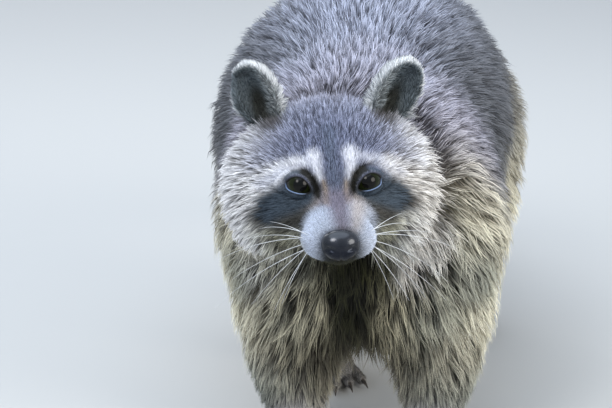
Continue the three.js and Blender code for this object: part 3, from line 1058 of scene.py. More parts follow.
def face_marks() -> list[FaceMark]:
    """The raccoon's face, from the back layer to the front one.

    Returns:
        The marks, each laid over those before it.
    """
    t, f = Tones, FaceMark
    return [
        # white of the cheeks and the brow bands that run into them
        f(t.CHEEK, ((-76, 24), (-76, -10), (-71, -42), (-58, -66)), (9, 14), 8, (62, 92)),
        # right cheek: the cheek's white tinted warm and dimmed, painted warm light on that side
        f(t.CHEEK_IN_WARM_LIGHT, ((78, 22), (76, -10), (72, -40), (60, -62)), (9, 14), 8, (62, 92)),
        f(t.CHEEK, ((-24, 14), (-40, 8), (-56, -3), (-68, -18)), (4, 10), 5),
        f(t.WHITE, ((-19, 14.5), (-34, 10), (-48, 2)), (2.6, 4.5), 4),
        # right brow bands: tinted warm and weaker than the left ones, painted warm light and painted shade on
        # that side
        f(t.CHEEK_IN_WARM_LIGHT, ((38, 13), (54, 2), (66, -16)), (4, 10), 5, (34, 60), 0.8),
        f(t.WHITE, ((19, 17), (33, 13.5), (47, 6)), (2.4, 4), 4, (34, 60), 0.7),
        # olive shade beside the muzzle
        f(t.OLIVE, ((-40, -34), (-27, -50)), (7, 8), 7, (20, 50), 0.75),
        f(t.OLIVE, ((38, -32), (27, -48)), (7, 8), 7, (20, 50), 0.75),
        # the mask
        f(t.MASK_BROWN, ((-43, -18), (-49, -20.5)), (12, 7), 5),
        f(t.MASK_BROWN, ((40, -12), (52, -15)), (12, 6), 5.5),
        f(t.MASK, ((-22, -7), (-34, -12), (-41, -16)), (9, 11), 4),
        f(t.MASK, ((23, -5), (35, -9), (41, -12)), (9, 11), 4),
        f(t.MASK_BROWN, ((-20, -22), (-36, -27)), (5, 5), 5),
        f(t.MASK_BROWN, ((24, -20), (38, -25)), (5, 5), 5),
        f(t.EYE_CORNER, ((-28, 9.5), (-20, 9.4), (-14, 3.4), (-12.6, -5)), (0.8, 2.6), 2.4),
        f(t.EYE_CORNER, ((28, 11), (20, 10.6), (14, 4.6), (12.6, -4)), (0.8, 2.6), 2.4),
        # stripe down the forehead and the streaks beside it
        f(t.STRIPE, ((-1.5, 34), (-1.5, 24), (-1, 8), (1, -4)), (5.5, 2.4), 3.5),
        f(t.WHITE, ((-12.8, 18), (-12, 11), (-10, 3)), (4.4, 2.0), 3.8),
        f(t.WHITE, ((11.8, 19), (11.8, 11), (10.4, 3)), (4.8, 1.9), 3.8),
        f(t.TAN, ((-7.5, 1), (-6, -7), (-6, -14)), (1.2, 2.2), 2.2),
        f(t.TAN, ((8, 0), (7, -7), (7.5, -14)), (1.2, 2.2), 2.2),
        f(t.STRIPE, ((0.5, 2), (1.2, -8), (1.5, -14)), (1.6, 2.0), 2.2),
        # dark corners of the eyes
        f(t.EYE_CORNER, ((-19, 7.5), (-14, 3), (-12, -3), (-11.5, -9)), (2.6, 1.6), 2.2),
        f(t.EYE_CORNER, ((19, 9), (14, 5), (12, -1), (12, -8)), (2.6, 1.6), 2.2),
        # muzzle
        f(t.MUZZLE, ((-8, -30), (-8, -42)), (14.5, 14.5), 3.2, (-6, 6)),
        f(t.MUZZLE, ((13, -28), (12, -42)), (14.5, 14.5), 3.2, (-6, 6)),
        f(t.PINK, ((14, -18), (11, -29)), (6, 4), 5, (-6, 6), 0.8),
        f(t.BRIDGE, ((1, -12), (2.4, -33)), (7.5, 5.0), 5.5, (-6, 6), 0.95),
    ]


@dataclass
class Markings:
    """The colours of the coat, shared by the skin and the hair."""

    marks: Landmarks
    plan: CoatPlan
    rings: int = 6

    def shades(self, points: Array, normals: Array) -> Shades:
        """Colours at each place of the skin, or of the hair above it.

        Args:
            points: places, n by 3.
            normals: which way the skin faces there.

        Returns:
            The shades, in linear colour.
        """
        found = self.plan.base_shades(points)
        across, up, depth = self.marks.face_plane(points)
        near = (np.abs(across) < 110) & (up > -100) & (depth < 110)
        for mark in face_marks():
            weight = np.zeros(len(points))
            weight[near] = mark.weight(across[near], up[near], depth[near])
            found.cover(mark.tone, weight)
        self.lids(points, found)
        self.jaw(points, found)
        self.breast(points, found)
        self.ears(points, normals, found)
        self.tail(points, found)
        self.pads(points, normals, found)
        return found

    def lids(self, points: Array, found: Shades) -> None:
        """A dark edge round the eyes, a thin grey fold over them, and dark hair above that.

        Args:
            points: places, n by 3.
            found: the shades, changed in place.
        """
        local = self.marks.head.back(points)
        for eye in EYES:
            scale, out = eye.opening(local)
            q = (local - eye.centre) @ eye.axes.T
            near = (out > -10) * (np.linalg.norm(local - eye.centre, axis=1) < 24)
            gap = np.linalg.norm(q[:, :2], axis=1) * (1 - 1 / np.maximum(scale, 0.5))
            above = near * ramp(-2.0, 1.0, q[:, 1])
            inner = ramp(3.5, -1.0, q[:, 0])
            found.cover(Tones.MASK, above * ramp(4.4, 3.0, gap) * 0.85)
            found.cover(Tones.EYE_CORNER, above * inner * ramp(6.0, 4.4, gap) * 0.9)
            found.cover(Tones.LID, above * ramp(2.3, 1.6, gap) * 0.9)
            found.cover(Tones.EYE_CORNER, near * ramp(1.2, 0.7, gap) * 0.9)

    def breast(self, points: Array, found: Shades) -> None:
        """A dark stripe down the middle of the throat and breast: painted shade under the head.

        Args:
            points: places, n by 3.
            found: the shades, changed in place.
        """
        low, high = self.marks.boxes["chest"]
        aside = np.abs(points[:, 0] - (low[0] + high[0]) / 2)
        front = ramp(low[1] + 46, low[1] + 26, points[:, 1])
        span = ramp(low[2] - 10, low[2] + 20, points[:, 2]) * ramp(low[2] + 168, low[2] + 140, points[:, 2])
        found.cover(Tones.CHEST, ramp(21.0, 8.0, aside) * front * span * 0.95)

    def jaw(self, points: Array, found: Shades) -> None:
        """Painted shade below the mouth, in dark olive, with a thin pale lip.

        Args:
            points: places, n by 3.
            found: the shades, changed in place.
        """
        local = self.marks.head.back(points)
        under = HeadShape().lip(local[:, 1]) - local[:, 2]
        near = (np.abs(local[:, 0]) < 40) * (local[:, 2] > -70)
        found.cover(Tones.CHIN, near * ramp(-1.2, 1.2, under) * ramp(26, 6, local[:, 1]))

    def ears(self, points: Array, normals: Array, found: Shades) -> None:
        """Grey bowls with dark depths, white rims and dark-brown roots.

        Args:
            points: places, n by 3.
            normals: which way the skin faces there.
            found: the shades, changed in place.
        """
        local = self.marks.head.back(points)
        facing = -(normals @ self.marks.head.turned(np.array([0.0, -1.0, 0.0])))
        for side in (1, -1):
            ear = Ear(side)
            wide, high, deep = ear.shares(local)
            out = np.hypot(wide, high)
            mine = (out < 1.3) & (local[:, 1] > 30) & (local[:, 1] < 84) & (high > -0.8)
            mine &= ear.distance(local) < 6.0
            inside = mine & (facing < 0.1)
            found.cover(Tones.EAR_BACK, (mine & ~inside) * 0.9)
            bowl = ramp(0.0, 1.0, inside.astype(float))
            found.cover(Tones.EAR_BOWL, bowl)
            dark = (1 - ramp(0.2, 0.7, np.hypot(wide + 0.02 * side, (high + 0.38) * 0.72))) * bowl
            found.cover(Tones.EAR_DEEP, dark * 0.9)
            fringe = bowl * ramp(0.3, 0.8, -wide * side) * ramp(-0.75, -0.2, high)
            found.cover(Tones.EAR_FRINGE, fringe * 0.7)
            edge = mine * ramp(0.96, 1.02, out) * ramp(-0.8, -0.3, high)
            found.cover(Tones.EAR_RIM, edge * ramp(0.75, 0.3, np.abs(deep + 0.28)))
            root = np.linalg.norm(local - np.array([side * 36.0, 44.0, 24.0]), axis=1)
            found.cover(Tones.EAR_ROOT, ramp(15.0, 7.0, root) * 0.85)

    def tail(self, points: Array, found: Shades) -> None:
        """Dark rings along the tail, and a dark tip.

        Args:
            points: places, n by 3.
            found: the shades, changed in place.
        """
        belongs, share, _ = self.plan.tail_share(points)
        found.cover(Tones.TAIL_PALE, belongs)
        wave = np.sin((share * self.rings - 0.22) * 2 * math.pi)
        dark = np.maximum(ramp(-0.25, 0.35, wave), ramp(0.86, 0.9, share))
        found.cover(Tones.TAIL_DARK, belongs * dark)

    def pads(self, points: Array, normals: Array, found: Shades) -> None:
        """Bare dark soles under the paws."""
        sole = ramp(9.0, 3.0, points[:, 2]) * ramp(-0.35, -0.7, normals[:, 2])
        found.cover(Tones.PADS, sole)


# ---- The head's own shape ----
@dataclass(frozen=True)
class Ear:
    """A bowl that opens forwards and outwards, on the side of the crown."""

    side: int
    at: Triple = (48.5, 56.0, 44.5)
    width: float = 16.4
    height: float = 27.2
    depth: float = 13.0
    lean: float = 14.0
    splay: float = 17.0
    cock: float = 4.0
    swing: float = 14.0
    wall: float = 3.2
    coat: float = 0.8

    def local(self, points: Array) -> Array:
        """Head places on the ear's own axes: across, back and up from its middle.

        Args:
            points: places on the head's axes.

        Returns:
            Places on the ear's axes.
        """
        angles = (self.lean, (self.splay + self.cock * self.side) * self.side, self.swing * self.side)
        x, y, z = (turned_about(axis, math.radians(angle)) for axis, angle in enumerate(angles))
        centre = np.array([self.at[0] * self.side, self.at[1], self.at[2] - self.cock * 0.3 * self.side])
        return (points - centre) @ (z @ y @ x)

    def shares(self, points: Array) -> tuple[Array, Array, Array]:
        """Head places as shares of the ear's half width, half height and depth."""
        q = self.local(points)
        return q[:, 0] / self.width, q[:, 2] / self.height, q[:, 1] / self.depth

    def distance(self, points: Array) -> Array:
        """Signed distance to the ear's skin.

        Args:
            points: places on the head's axes.

        Returns:
            A distance for each.
        """
        q, c, wide = self.local(points), self.coat, self.coat * 0.4
        outer = ellipsoid(q, (0, 0, 0), (self.width - c, self.depth - c, self.height - c))
        inner = (self.width - self.wall + wide, self.depth * 1.02 + wide, self.height - self.wall + wide)
        hollow = ellipsoid(q, (0, -self.depth * 0.72, 1.5), inner)
        front = -self.depth * 0.3 - q[:, 1]
        return smooth_max(smooth_max(outer, -hollow, 1.2), front, 1.2)


@dataclass(frozen=True)
class HeadShape:
    """The head's masses on its own axes, out to the tips of its coat."""

    blend: float = 11.0

    def distance(self, p: Array) -> Array:
        """Signed distance to the outside of the coat.

        Args:
            p: places on the head's axes.

        Returns:
            A distance for each.
        """
        masses = [ellipsoid(p, (0, 50, -7), (60, 60, 50)), ellipsoid(p, (0, 14, -3), (36, 27, 25))]
        for side in (1, -1):
            masses.append(ellipsoid(p, (side * 41, 44, -20), (36.5, 38, 49)))
            masses.append(ellipsoid(p, (side * 24, 17, -27), (25, 29, 22)))
            masses.append(ellipsoid(p, (side * 10.5, -38, -25.6), (15, 18, 12)))
        masses.append(self.cone(p, (0, 14, -18), (0, -47, -24.4), 28, 13.6))
        masses.append(self.cone(p, (0, 26, -44), (0, -30, -37.5), 23, 9))
        found = masses[0]
        for mass in masses[1:]:
            found = smooth_min(found, mass, self.blend)
        for side in (1, -1):
            found = -smooth_min(-found, ellipsoid(p, (side * 27, -19, 1), (14, 13, 11.5)), 4)
        return found

    def cone(self, p: Array, start: Triple, end: Triple, first: float, last: float) -> Array:
        """Signed distance to a cone with round ends.

        Args:
            p: places on the head's axes.
            start: the middle of its first end.
            end: the middle of its last end.
            first: the radius at its first end.
            last: the radius at its last end.

        Returns:
            A distance for each place.
        """
        route = np.array([start, end], float)
        away, share, _ = along_route(p, route)
        return away - (first + (last - first) * share)

    def lip(self, ahead: Array) -> Array:
        """The height of the line between the lips, for places along the muzzle."""
        return np.interp(ahead, [-58, -44, -28, -14, -2], [-34.0, -35.4, -37.2, -40.5, -46])

    def mouth_line(self, p: Array) -> Array:
        """How deep the crease between the lips is cut at each place.

        Args:
            p: places on the head's axes.

        Returns:
            A share of the full depth for each.
        """
        height = self.lip(p[:, 1])
        shown = ramp(4, -6, p[:, 1]) * ramp(30, 22, np.abs(p[:, 0]))
        return np.exp(-(((p[:, 2] - height) / 0.9) ** 2)) * shown


@dataclass(frozen=True)
class EyeShape:
    """One eye: where it sits on the head's axes, and the almond between its lids."""

    side: int
    radius: float = 9.2
    span: float = 46.4
    sunk: float = -1.5
    raised: float = 1.3
    half_width: float = 8.7
    upper: float = 5.5
    lower: float = 5.2
    droop: float = 2.1
    slant: float = 12.5
    outward: float = 15.0
    upward: float = 13.0

    @property
    def centre(self) -> Array:
        """The eyeball's middle."""
        return np.array([self.side * self.span / 2, self.sunk, self.raised])

    @property
    def axes(self) -> Array:
        """The eye's own axes, as the lids lie.

        Returns:
            Rows: away from the nose, up the face, and out of the head.
        """
        out, up = math.radians(self.outward) * self.side, math.radians(self.upward)
        look = np.array([math.sin(out) * math.cos(up), -math.cos(out) * math.cos(up), math.sin(up)])
        aside = unit(np.cross(np.array([0.0, 0.0, 1.0]), look))
        aside = aside if aside[0] * self.side > 0 else -aside
        above = np.cross(look, aside)
        above = above if above[2] > 0 else -above
        c, s = math.cos(math.radians(self.slant)), math.sin(math.radians(self.slant))
        return np.array([c * aside + s * above, c * above - s * aside, look])

    def edge(self, angles: Array) -> Array:
        """The lids' edge on its own plane, from the outer corner round over the top.

        Args:
            angles: the angle of each of its places, in radians.

        Returns:
            Places on the plane, n by 2.
        """
        lift = np.sin(angles)
        height = np.where(lift > 0, self.upper, self.lower) * np.sign(lift) * np.abs(lift) ** 1.1
        return np.stack([self.half_width * np.cos(angles), height - self.droop * np.cos(angles) ** 2], axis=1)

    def opening(self, local: Array) -> tuple[Array, Array]:
        """Head places as a multiple of the opening's size, and how far out of the head.

        Args:
            local: places on the head's axes.

        Returns:
            The multiple, and the distance out of the head, for each place.
        """
        q = (local - self.centre) @ self.axes.T
        scale = np.full(len(q), 99.0)
        near = np.linalg.norm(q, axis=1) < 40
        x, y, drop = q[near, 0], q[near, 1], np.zeros(int(near.sum()))
        for _ in range(4):
            high = y + drop
            angle = np.arctan2(high / np.where(high > 0, self.upper, self.lower), x / self.half_width)
            rim = np.linalg.norm(self.edge(angle), axis=1)
            share = np.hypot(x, y) / np.maximum(rim, 1e-6)
            drop = share * self.droop * np.cos(angle) ** 2
        scale[near] = share
        return scale, q[:, 2]


EYES = (EyeShape(1), EyeShape(-1))


@dataclass(frozen=True)
class PawShape:
    """A palm and five toes, flat underneath, set at a share of its solid's box and turned about Z."""

    node: str
    foot: tuple[float, float]
    heading: float
    width: float
    length: float
    toe_length: float
    fan: float
    toe_step: float
    heel: float
    palm_height: float = 22.0
    toe_radius: float = 5.3
    coat: float = 0.8
    ankle: float = 17.0
    ankle_coat: float = 4.0

    def place(self, marks: Landmarks) -> tuple[Array, Array]:
        """The foot's place on the floor, and its axes: across, along the toes, up.

        Args:
            marks: the boxes of the solids.

        Returns:
            The place, and the axes as rows.
        """
        low, high = marks.boxes[self.node]
        at = low + (high - low) * np.array([*self.foot, 0.0])
        at[2] = 0.0
        turn = math.radians(self.heading)
        c, s = math.cos(turn), math.sin(turn)
        return at, np.array([[c, s, 0.0], [s, -c, 0.0], [0.0, 0.0, 1.0]])

    def toes(self) -> list[tuple[Array, Array]]:
        """Where each toe starts and ends, on the foot's own axes.

        Returns:
            Pairs of places.
        """
        palm = self.length - self.toe_length
        found = []
        for toe in range(-2, 3):
            outer = abs(toe) / 2
            angle = math.radians(toe * self.fan)
            root = np.array([toe * self.width * 0.19, palm * 0.72 - outer * self.toe_step, 7.2])
            ahead = np.array([math.sin(angle), math.cos(angle), 0.0])
            end = root + ahead * (self.toe_length + (1 - outer) * 5)
            end[2] = self.toe_radius - 0.4
            found.append((root, end))
        return found

    def distance(self, points: Array, marks: Landmarks) -> Array:
        """Signed distance to the skin of the paw.

        Args:
            points: places, n by 3.
            marks: the boxes of the solids.

        Returns:
            A distance for each.
        """
        at, axes = self.place(marks)
        q = (points - at) @ axes.T
        palm = self.length - self.toe_length
        size = (self.width / 2 - self.coat, palm * 0.56, self.palm_height * 0.56)
        found = ellipsoid(q, (0, palm * 0.42, self.palm_height * 0.34), size)
        shank = np.array([(0.0, 0.0, 20.0), (0.0, -2.0, 44.0)])
        away, _, _ = along_route(q, shank)
        found = smooth_min(found, away - (self.ankle - self.ankle_coat), 9.0)
        if self.heel:
            away, _, _ = along_route(q, np.array([(0.0, -self.heel, 9.0), (0.0, palm * 0.6, 9.0)]))
            found = smooth_min(found, away - 9.0, 6.0)
        digits = np.full(len(q), 99.0)
        for root, end in self.toes():
            away, share, _ = along_route(q, np.array([root, end]))
            knuckle = 0.5 * np.exp(-(((share - 0.45) / 0.2) ** 2))
            digits = smooth_min(digits, away - (self.toe_radius - self.coat - 0.5 + knuckle), 0.9)
        return smooth_min(found, digits, 3.5)


PAWS = tuple(
    PawShape(f"{pair}_{side}", foot, heading, *sizes)
    for pair, side, foot, heading, sizes in (
        ("forepaw", "left", (0.424, 0.732), 5.0, (33.0, 62.0, 24.0, 14.0, 7.0, 0.0)),
        ("forepaw", "right", (0.576, 0.732), -5.0, (33.0, 62.0, 24.0, 14.0, 7.0, 0.0)),
        ("hindpaw", "left", (0.375, 0.7455), 7.0, (32.0, 74.0, 22.0, 11.0, 11.0, 14.0)),
        ("hindpaw", "right", (0.427, 0.745), 4.0, (32.0, 74.0, 22.0, 11.0, 11.0, 14.0)),
    )
)


@dataclass(frozen=True)
class NoseShape:
    """The nose pad on the head's own axes."""

    at: Triple = (0.0, -55.6, -22.8)
    half: Triple = (12.9, 9.6, 10.6)
    lean: float = -14.0

    def local(self, points: Array) -> Array:
        """Head places on the nose's own axes."""
        return (points - np.array(self.at)) @ turned_about(0, math.radians(self.lean))

    def distance(self, points: Array) -> Array:
        """Signed distance to the nose, with its nostrils and the groove down its front.

        Args:
            points: places on the head's axes.

        Returns:
            A distance for each.
        """
        q = self.local(points)
        x, y, z = (q[:, k] / self.half[k] for k in range(3))
        x = x / (1 + 0.09 * np.clip(z, -1, 1))
        power = 2.2
        size = (np.abs(x) ** power + np.abs(y) ** power + np.abs(z) ** power) ** (1 / power)
        found = (size - 1) * 9.0
        for side in (1, -1):
            route = np.array([(side * 5.6, -9.4, -2.2), (side * 8.6, -7.2, -1.4), (side * 12.6, -3.0, -4.4)])
            away, share, _ = along_route(q, route)
            found = smooth_max(found, (1.7 - 0.6 * share) - away, 1.4)
        groove = np.exp(-((q[:, 0] / 0.7) ** 2)) * ramp(-1.0, -4.0, q[:, 2]) * 0.7
        return found + groove


# ---- Level surfaces ----
@dataclass
class LevelGrid:
    """Values on a block of places with uneven steps, and the surface where they pass through zero."""

    x: Array
    y: Array
    z: Array
    values: Array

    def points(self) -> Array:
        """Every place of the block, n by 3."""
        return np.stack(np.meshgrid(self.x, self.y, self.z, indexing="ij"), axis=-1).reshape(-1, 3)

    def block(self, low: Array, high: Array) -> tuple[tuple[slice, ...], "LevelGrid"]:
        """The part of the grid between two corners.

        Args:
            low: its low corner.
            high: its high corner.

        Returns:
            Its slices, and a grid of its own.
        """
        axes, spans = (self.x, self.y, self.z), []
        for places, start, end in zip(axes, low, high, strict=True):
            spans.append(slice(int(np.searchsorted(places, start)), int(np.searchsorted(places, end))))
        cut = (places[span] for places, span in zip(axes, spans, strict=True))
        return tuple(spans), LevelGrid(*cut, self.values[tuple(spans)])

    def sample(self, points: Array) -> Array:
        """Values at any points, from the eight round each.

        Args:
            points: places, n by 3.

        Returns:
            A value for each.
        """
        found = np.zeros(len(points))
        cells, shares = [], []
        for axis, places in enumerate((self.x, self.y, self.z)):
            k = np.clip(np.searchsorted(places, points[:, axis]) - 1, 0, len(places) - 2)
            cells.append(k)
            shares.append(np.clip((points[:, axis] - places[k]) / (places[k + 1] - places[k]), 0, 1))
        for corner in range(8):
            step = [(corner >> a) & 1 for a in range(3)]
            weight = np.ones(len(points))
            for a in range(3):
                weight = weight * (shares[a] if step[a] else 1 - shares[a])
            found += weight * self.values[cells[0] + step[0], cells[1] + step[1], cells[2] + step[2]]
        return found

    def slopes(self, points: Array, step: float = 1.0) -> Array:
        """The direction in which the values rise fastest.

        Args:
            points: places, n by 3.
            step: how far apart the values are compared.

        Returns:
            Directions, n by 3.
        """
        found = np.zeros_like(points)
        for axis in range(3):
            move = np.zeros(3)
            move[axis] = step
            found[:, axis] = self.sample(points + move) - self.sample(points - move)
        return unit(found)

    def surface(self) -> tuple[Array, Array]:
        """The level surface: one point in each cell that it crosses.

        Returns:
            Its points, n by 3, and its four-sided faces, m by 4, facing outwards.
        """
        values = self.values
        inside = values < 0
        count = np.zeros([s - 1 for s in values.shape], np.int8)
        for corner in range(8):
            i, j, k = ((corner >> a) & 1 for a in range(3))
            count += inside[i : i + count.shape[0], j : j + count.shape[1], k : k + count.shape[2]]
        crossed = (count > 0) & (count < 8)
        cell = np.argwhere(crossed)
        numbers = np.full(count.shape, -1, np.int32)
        numbers[crossed] = np.arange(len(cell), dtype=np.int32)
        axes = (self.x, self.y, self.z)
        total, hits = np.zeros((len(cell), 3)), np.zeros(len(cell))
        for first in range(8):
            for bit in range(3):
                if first & (1 << bit):
                    continue
                ends = []
                for corner in (first, first | (1 << bit)):
                    at = [cell[:, a] + ((corner >> a) & 1) for a in range(3)]
                    place = np.stack([axes[a][at[a]] for a in range(3)], axis=1)
                    ends.append((values[at[0], at[1], at[2]], place))
                (va, pa), (vb, pb) = ends
                cut = (va < 0) != (vb < 0)
                t = np.where(cut, va / np.where(cut, va - vb, 1.0), 0.0)
                total += np.where(cut[:, None], pa + (pb - pa) * t[:, None], 0.0)
                hits += cut
        points = total / hits[:, None]
        faces = []
        for axis in range(3):
            a, b = [n for n in range(3) if n != axis]
            low = [slice(None)] * 3
            high = [slice(None)] * 3
            low[axis], high[axis] = slice(0, -1), slice(1, None)
            start, end = inside[tuple(low)], inside[tuple(high)]
            at = np.argwhere(start != end)
            across, over = at[:, a], at[:, b]
            at = at[(across > 0) & (over > 0) & (across < count.shape[a]) & (over < count.shape[b])]
            ring = []
            for da, db in ((1, 1), (0, 1), (0, 0), (1, 0)):
                near = at.copy()
                near[:, a] -= da
                near[:, b] -= db
                ring.append(numbers[near[:, 0], near[:, 1], near[:, 2]])
            ring = np.stack(ring, axis=1)
            outward = start[tuple(at.T)] if axis != 1 else ~start[tuple(at.T)]
            ring[~outward] = ring[~outward][:, ::-1]
            faces.append(ring)
        return points, np.concatenate(faces)


@dataclass
class Flesh:
    """The solids of flesh as one smooth distance field."""

    nodes: dict[str, Piece]
    voxel: float = 2.2
    seam: float = 0.7
    smoothing: float = 1.6
    bridge: float = 6.0

    def gather(self, names: list[str]) -> tuple[Array, Array]:
        """The triangles of some solids, in millimetres.

        Args:
            names: the solids' names.

        Returns:
            Points, n by 3, and triangles, m by 3.
        """
        points, triangles, start = [], [], 0
        for name in names:
            mesh = self.nodes[name].data
            mesh.calc_loop_triangles()
            co = np.empty(len(mesh.vertices) * 3, np.float32)
            mesh.vertices.foreach_get("co", co)
            tri = np.empty(len(mesh.loop_triangles) * 3, np.int32)
            mesh.loop_triangles.foreach_get("vertices", tri)
            points.append(co.reshape(-1, 3) / MM)
            triangles.append(tri.reshape(-1, 3) + start)
            start += len(mesh.vertices)
        return np.concatenate(points), np.concatenate(triangles)

    def field(self, deepest: float, names: list[str]) -> LevelGrid:
        """Signed distance to the outside of the coat, with the cuts between the solids closed.

        Args:
            deepest: how far inside the distances have to be right.
            names: the solids to take together.

        Returns:
            The distances on an even grid.
        """
        transform = vdb.createLinearTransform(voxelSize=self.voxel)
        points, triangles = self.gather(names)
        first = vdb.FloatGrid.createLevelSetFromPolygons(
            points, triangles=triangles.astype(np.uint32), transform=transform, halfWidth=3.0
        )
        shell, loose, quads = first.convertToPolygons(self.seam, 0.0)
        corners = np.concatenate([halves(quads), loose.reshape(-1, 3)])
        band = deepest / self.voxel + 3
        second = vdb.FloatGrid.createLevelSetFromPolygons(
            shell,
            triangles=corners.astype(np.uint32),
            transform=transform,
            exBandWidth=band,
            inBandWidth=band,
        )
        low, high = second.evalActiveVoxelBoundingBox()
        shape = [h - l + 1 for l, h in zip(low, high, strict=True)]
        dense = np.zeros(shape, np.float32)
        second.copyToArray(dense, ijk=low)
        dense = blur(dense, self.smoothing) + self.seam
        dense = smooth_min(dense, blur(dense, self.bridge), 1.0)
        x, y, z = (np.arange(l, h + 1) * self.voxel for l, h in zip(low, high, strict=True))
        return LevelGrid(x, y, z, dense)


def resample(grid: LevelGrid, x: Array, y: Array, z: Array) -> Array:
    """A grid's values on another block of places, one axis at a time.

    Args:
        grid: the grid.
        x: places along the first axis.
        y: places along the second.
        z: places along the third.

    Returns:
        The values on the new block.
    """
    values = grid.values
    for axis, (old, new) in enumerate(((grid.x, x), (grid.y, y), (grid.z, z))):
        k = np.clip(np.searchsorted(old, new) - 1, 0, len(old) - 2)
        t = np.clip((new - old[k]) / (old[k + 1] - old[k]), 0, 1).astype(np.float32)
        shape = [1, 1, 1]
        shape[axis] = len(new)
        t = t.reshape(shape)
        values = np.take(values, k, axis=axis) * (1 - t) + np.take(values, k + 1, axis=axis) * t
    return values


def steps(low: float, high: float, fine_low: float, fine_high: float, fine: float, coarse: float) -> Array:
    """Places along an axis, closer together over one stretch of it.

    Args:
        low: where the axis starts.
        high: where it ends.
        fine_low: where the fine stretch starts.
        fine_high: where it ends.
        fine: the step inside it.
        coarse: the step outside it.

    Returns:
        The places, rising.
    """
    fine_low, fine_high = max(fine_low, low), min(fine_high, high)
    parts = [
        np.arange(fine_low, low - coarse, -coarse)[:0:-1],
        np.linspace(fine_low, fine_high, max(2, round((fine_high - fine_low) / fine))),
        np.arange(fine_high, high + coarse, coarse)[1:],
    ]
    return np.concatenate(parts)


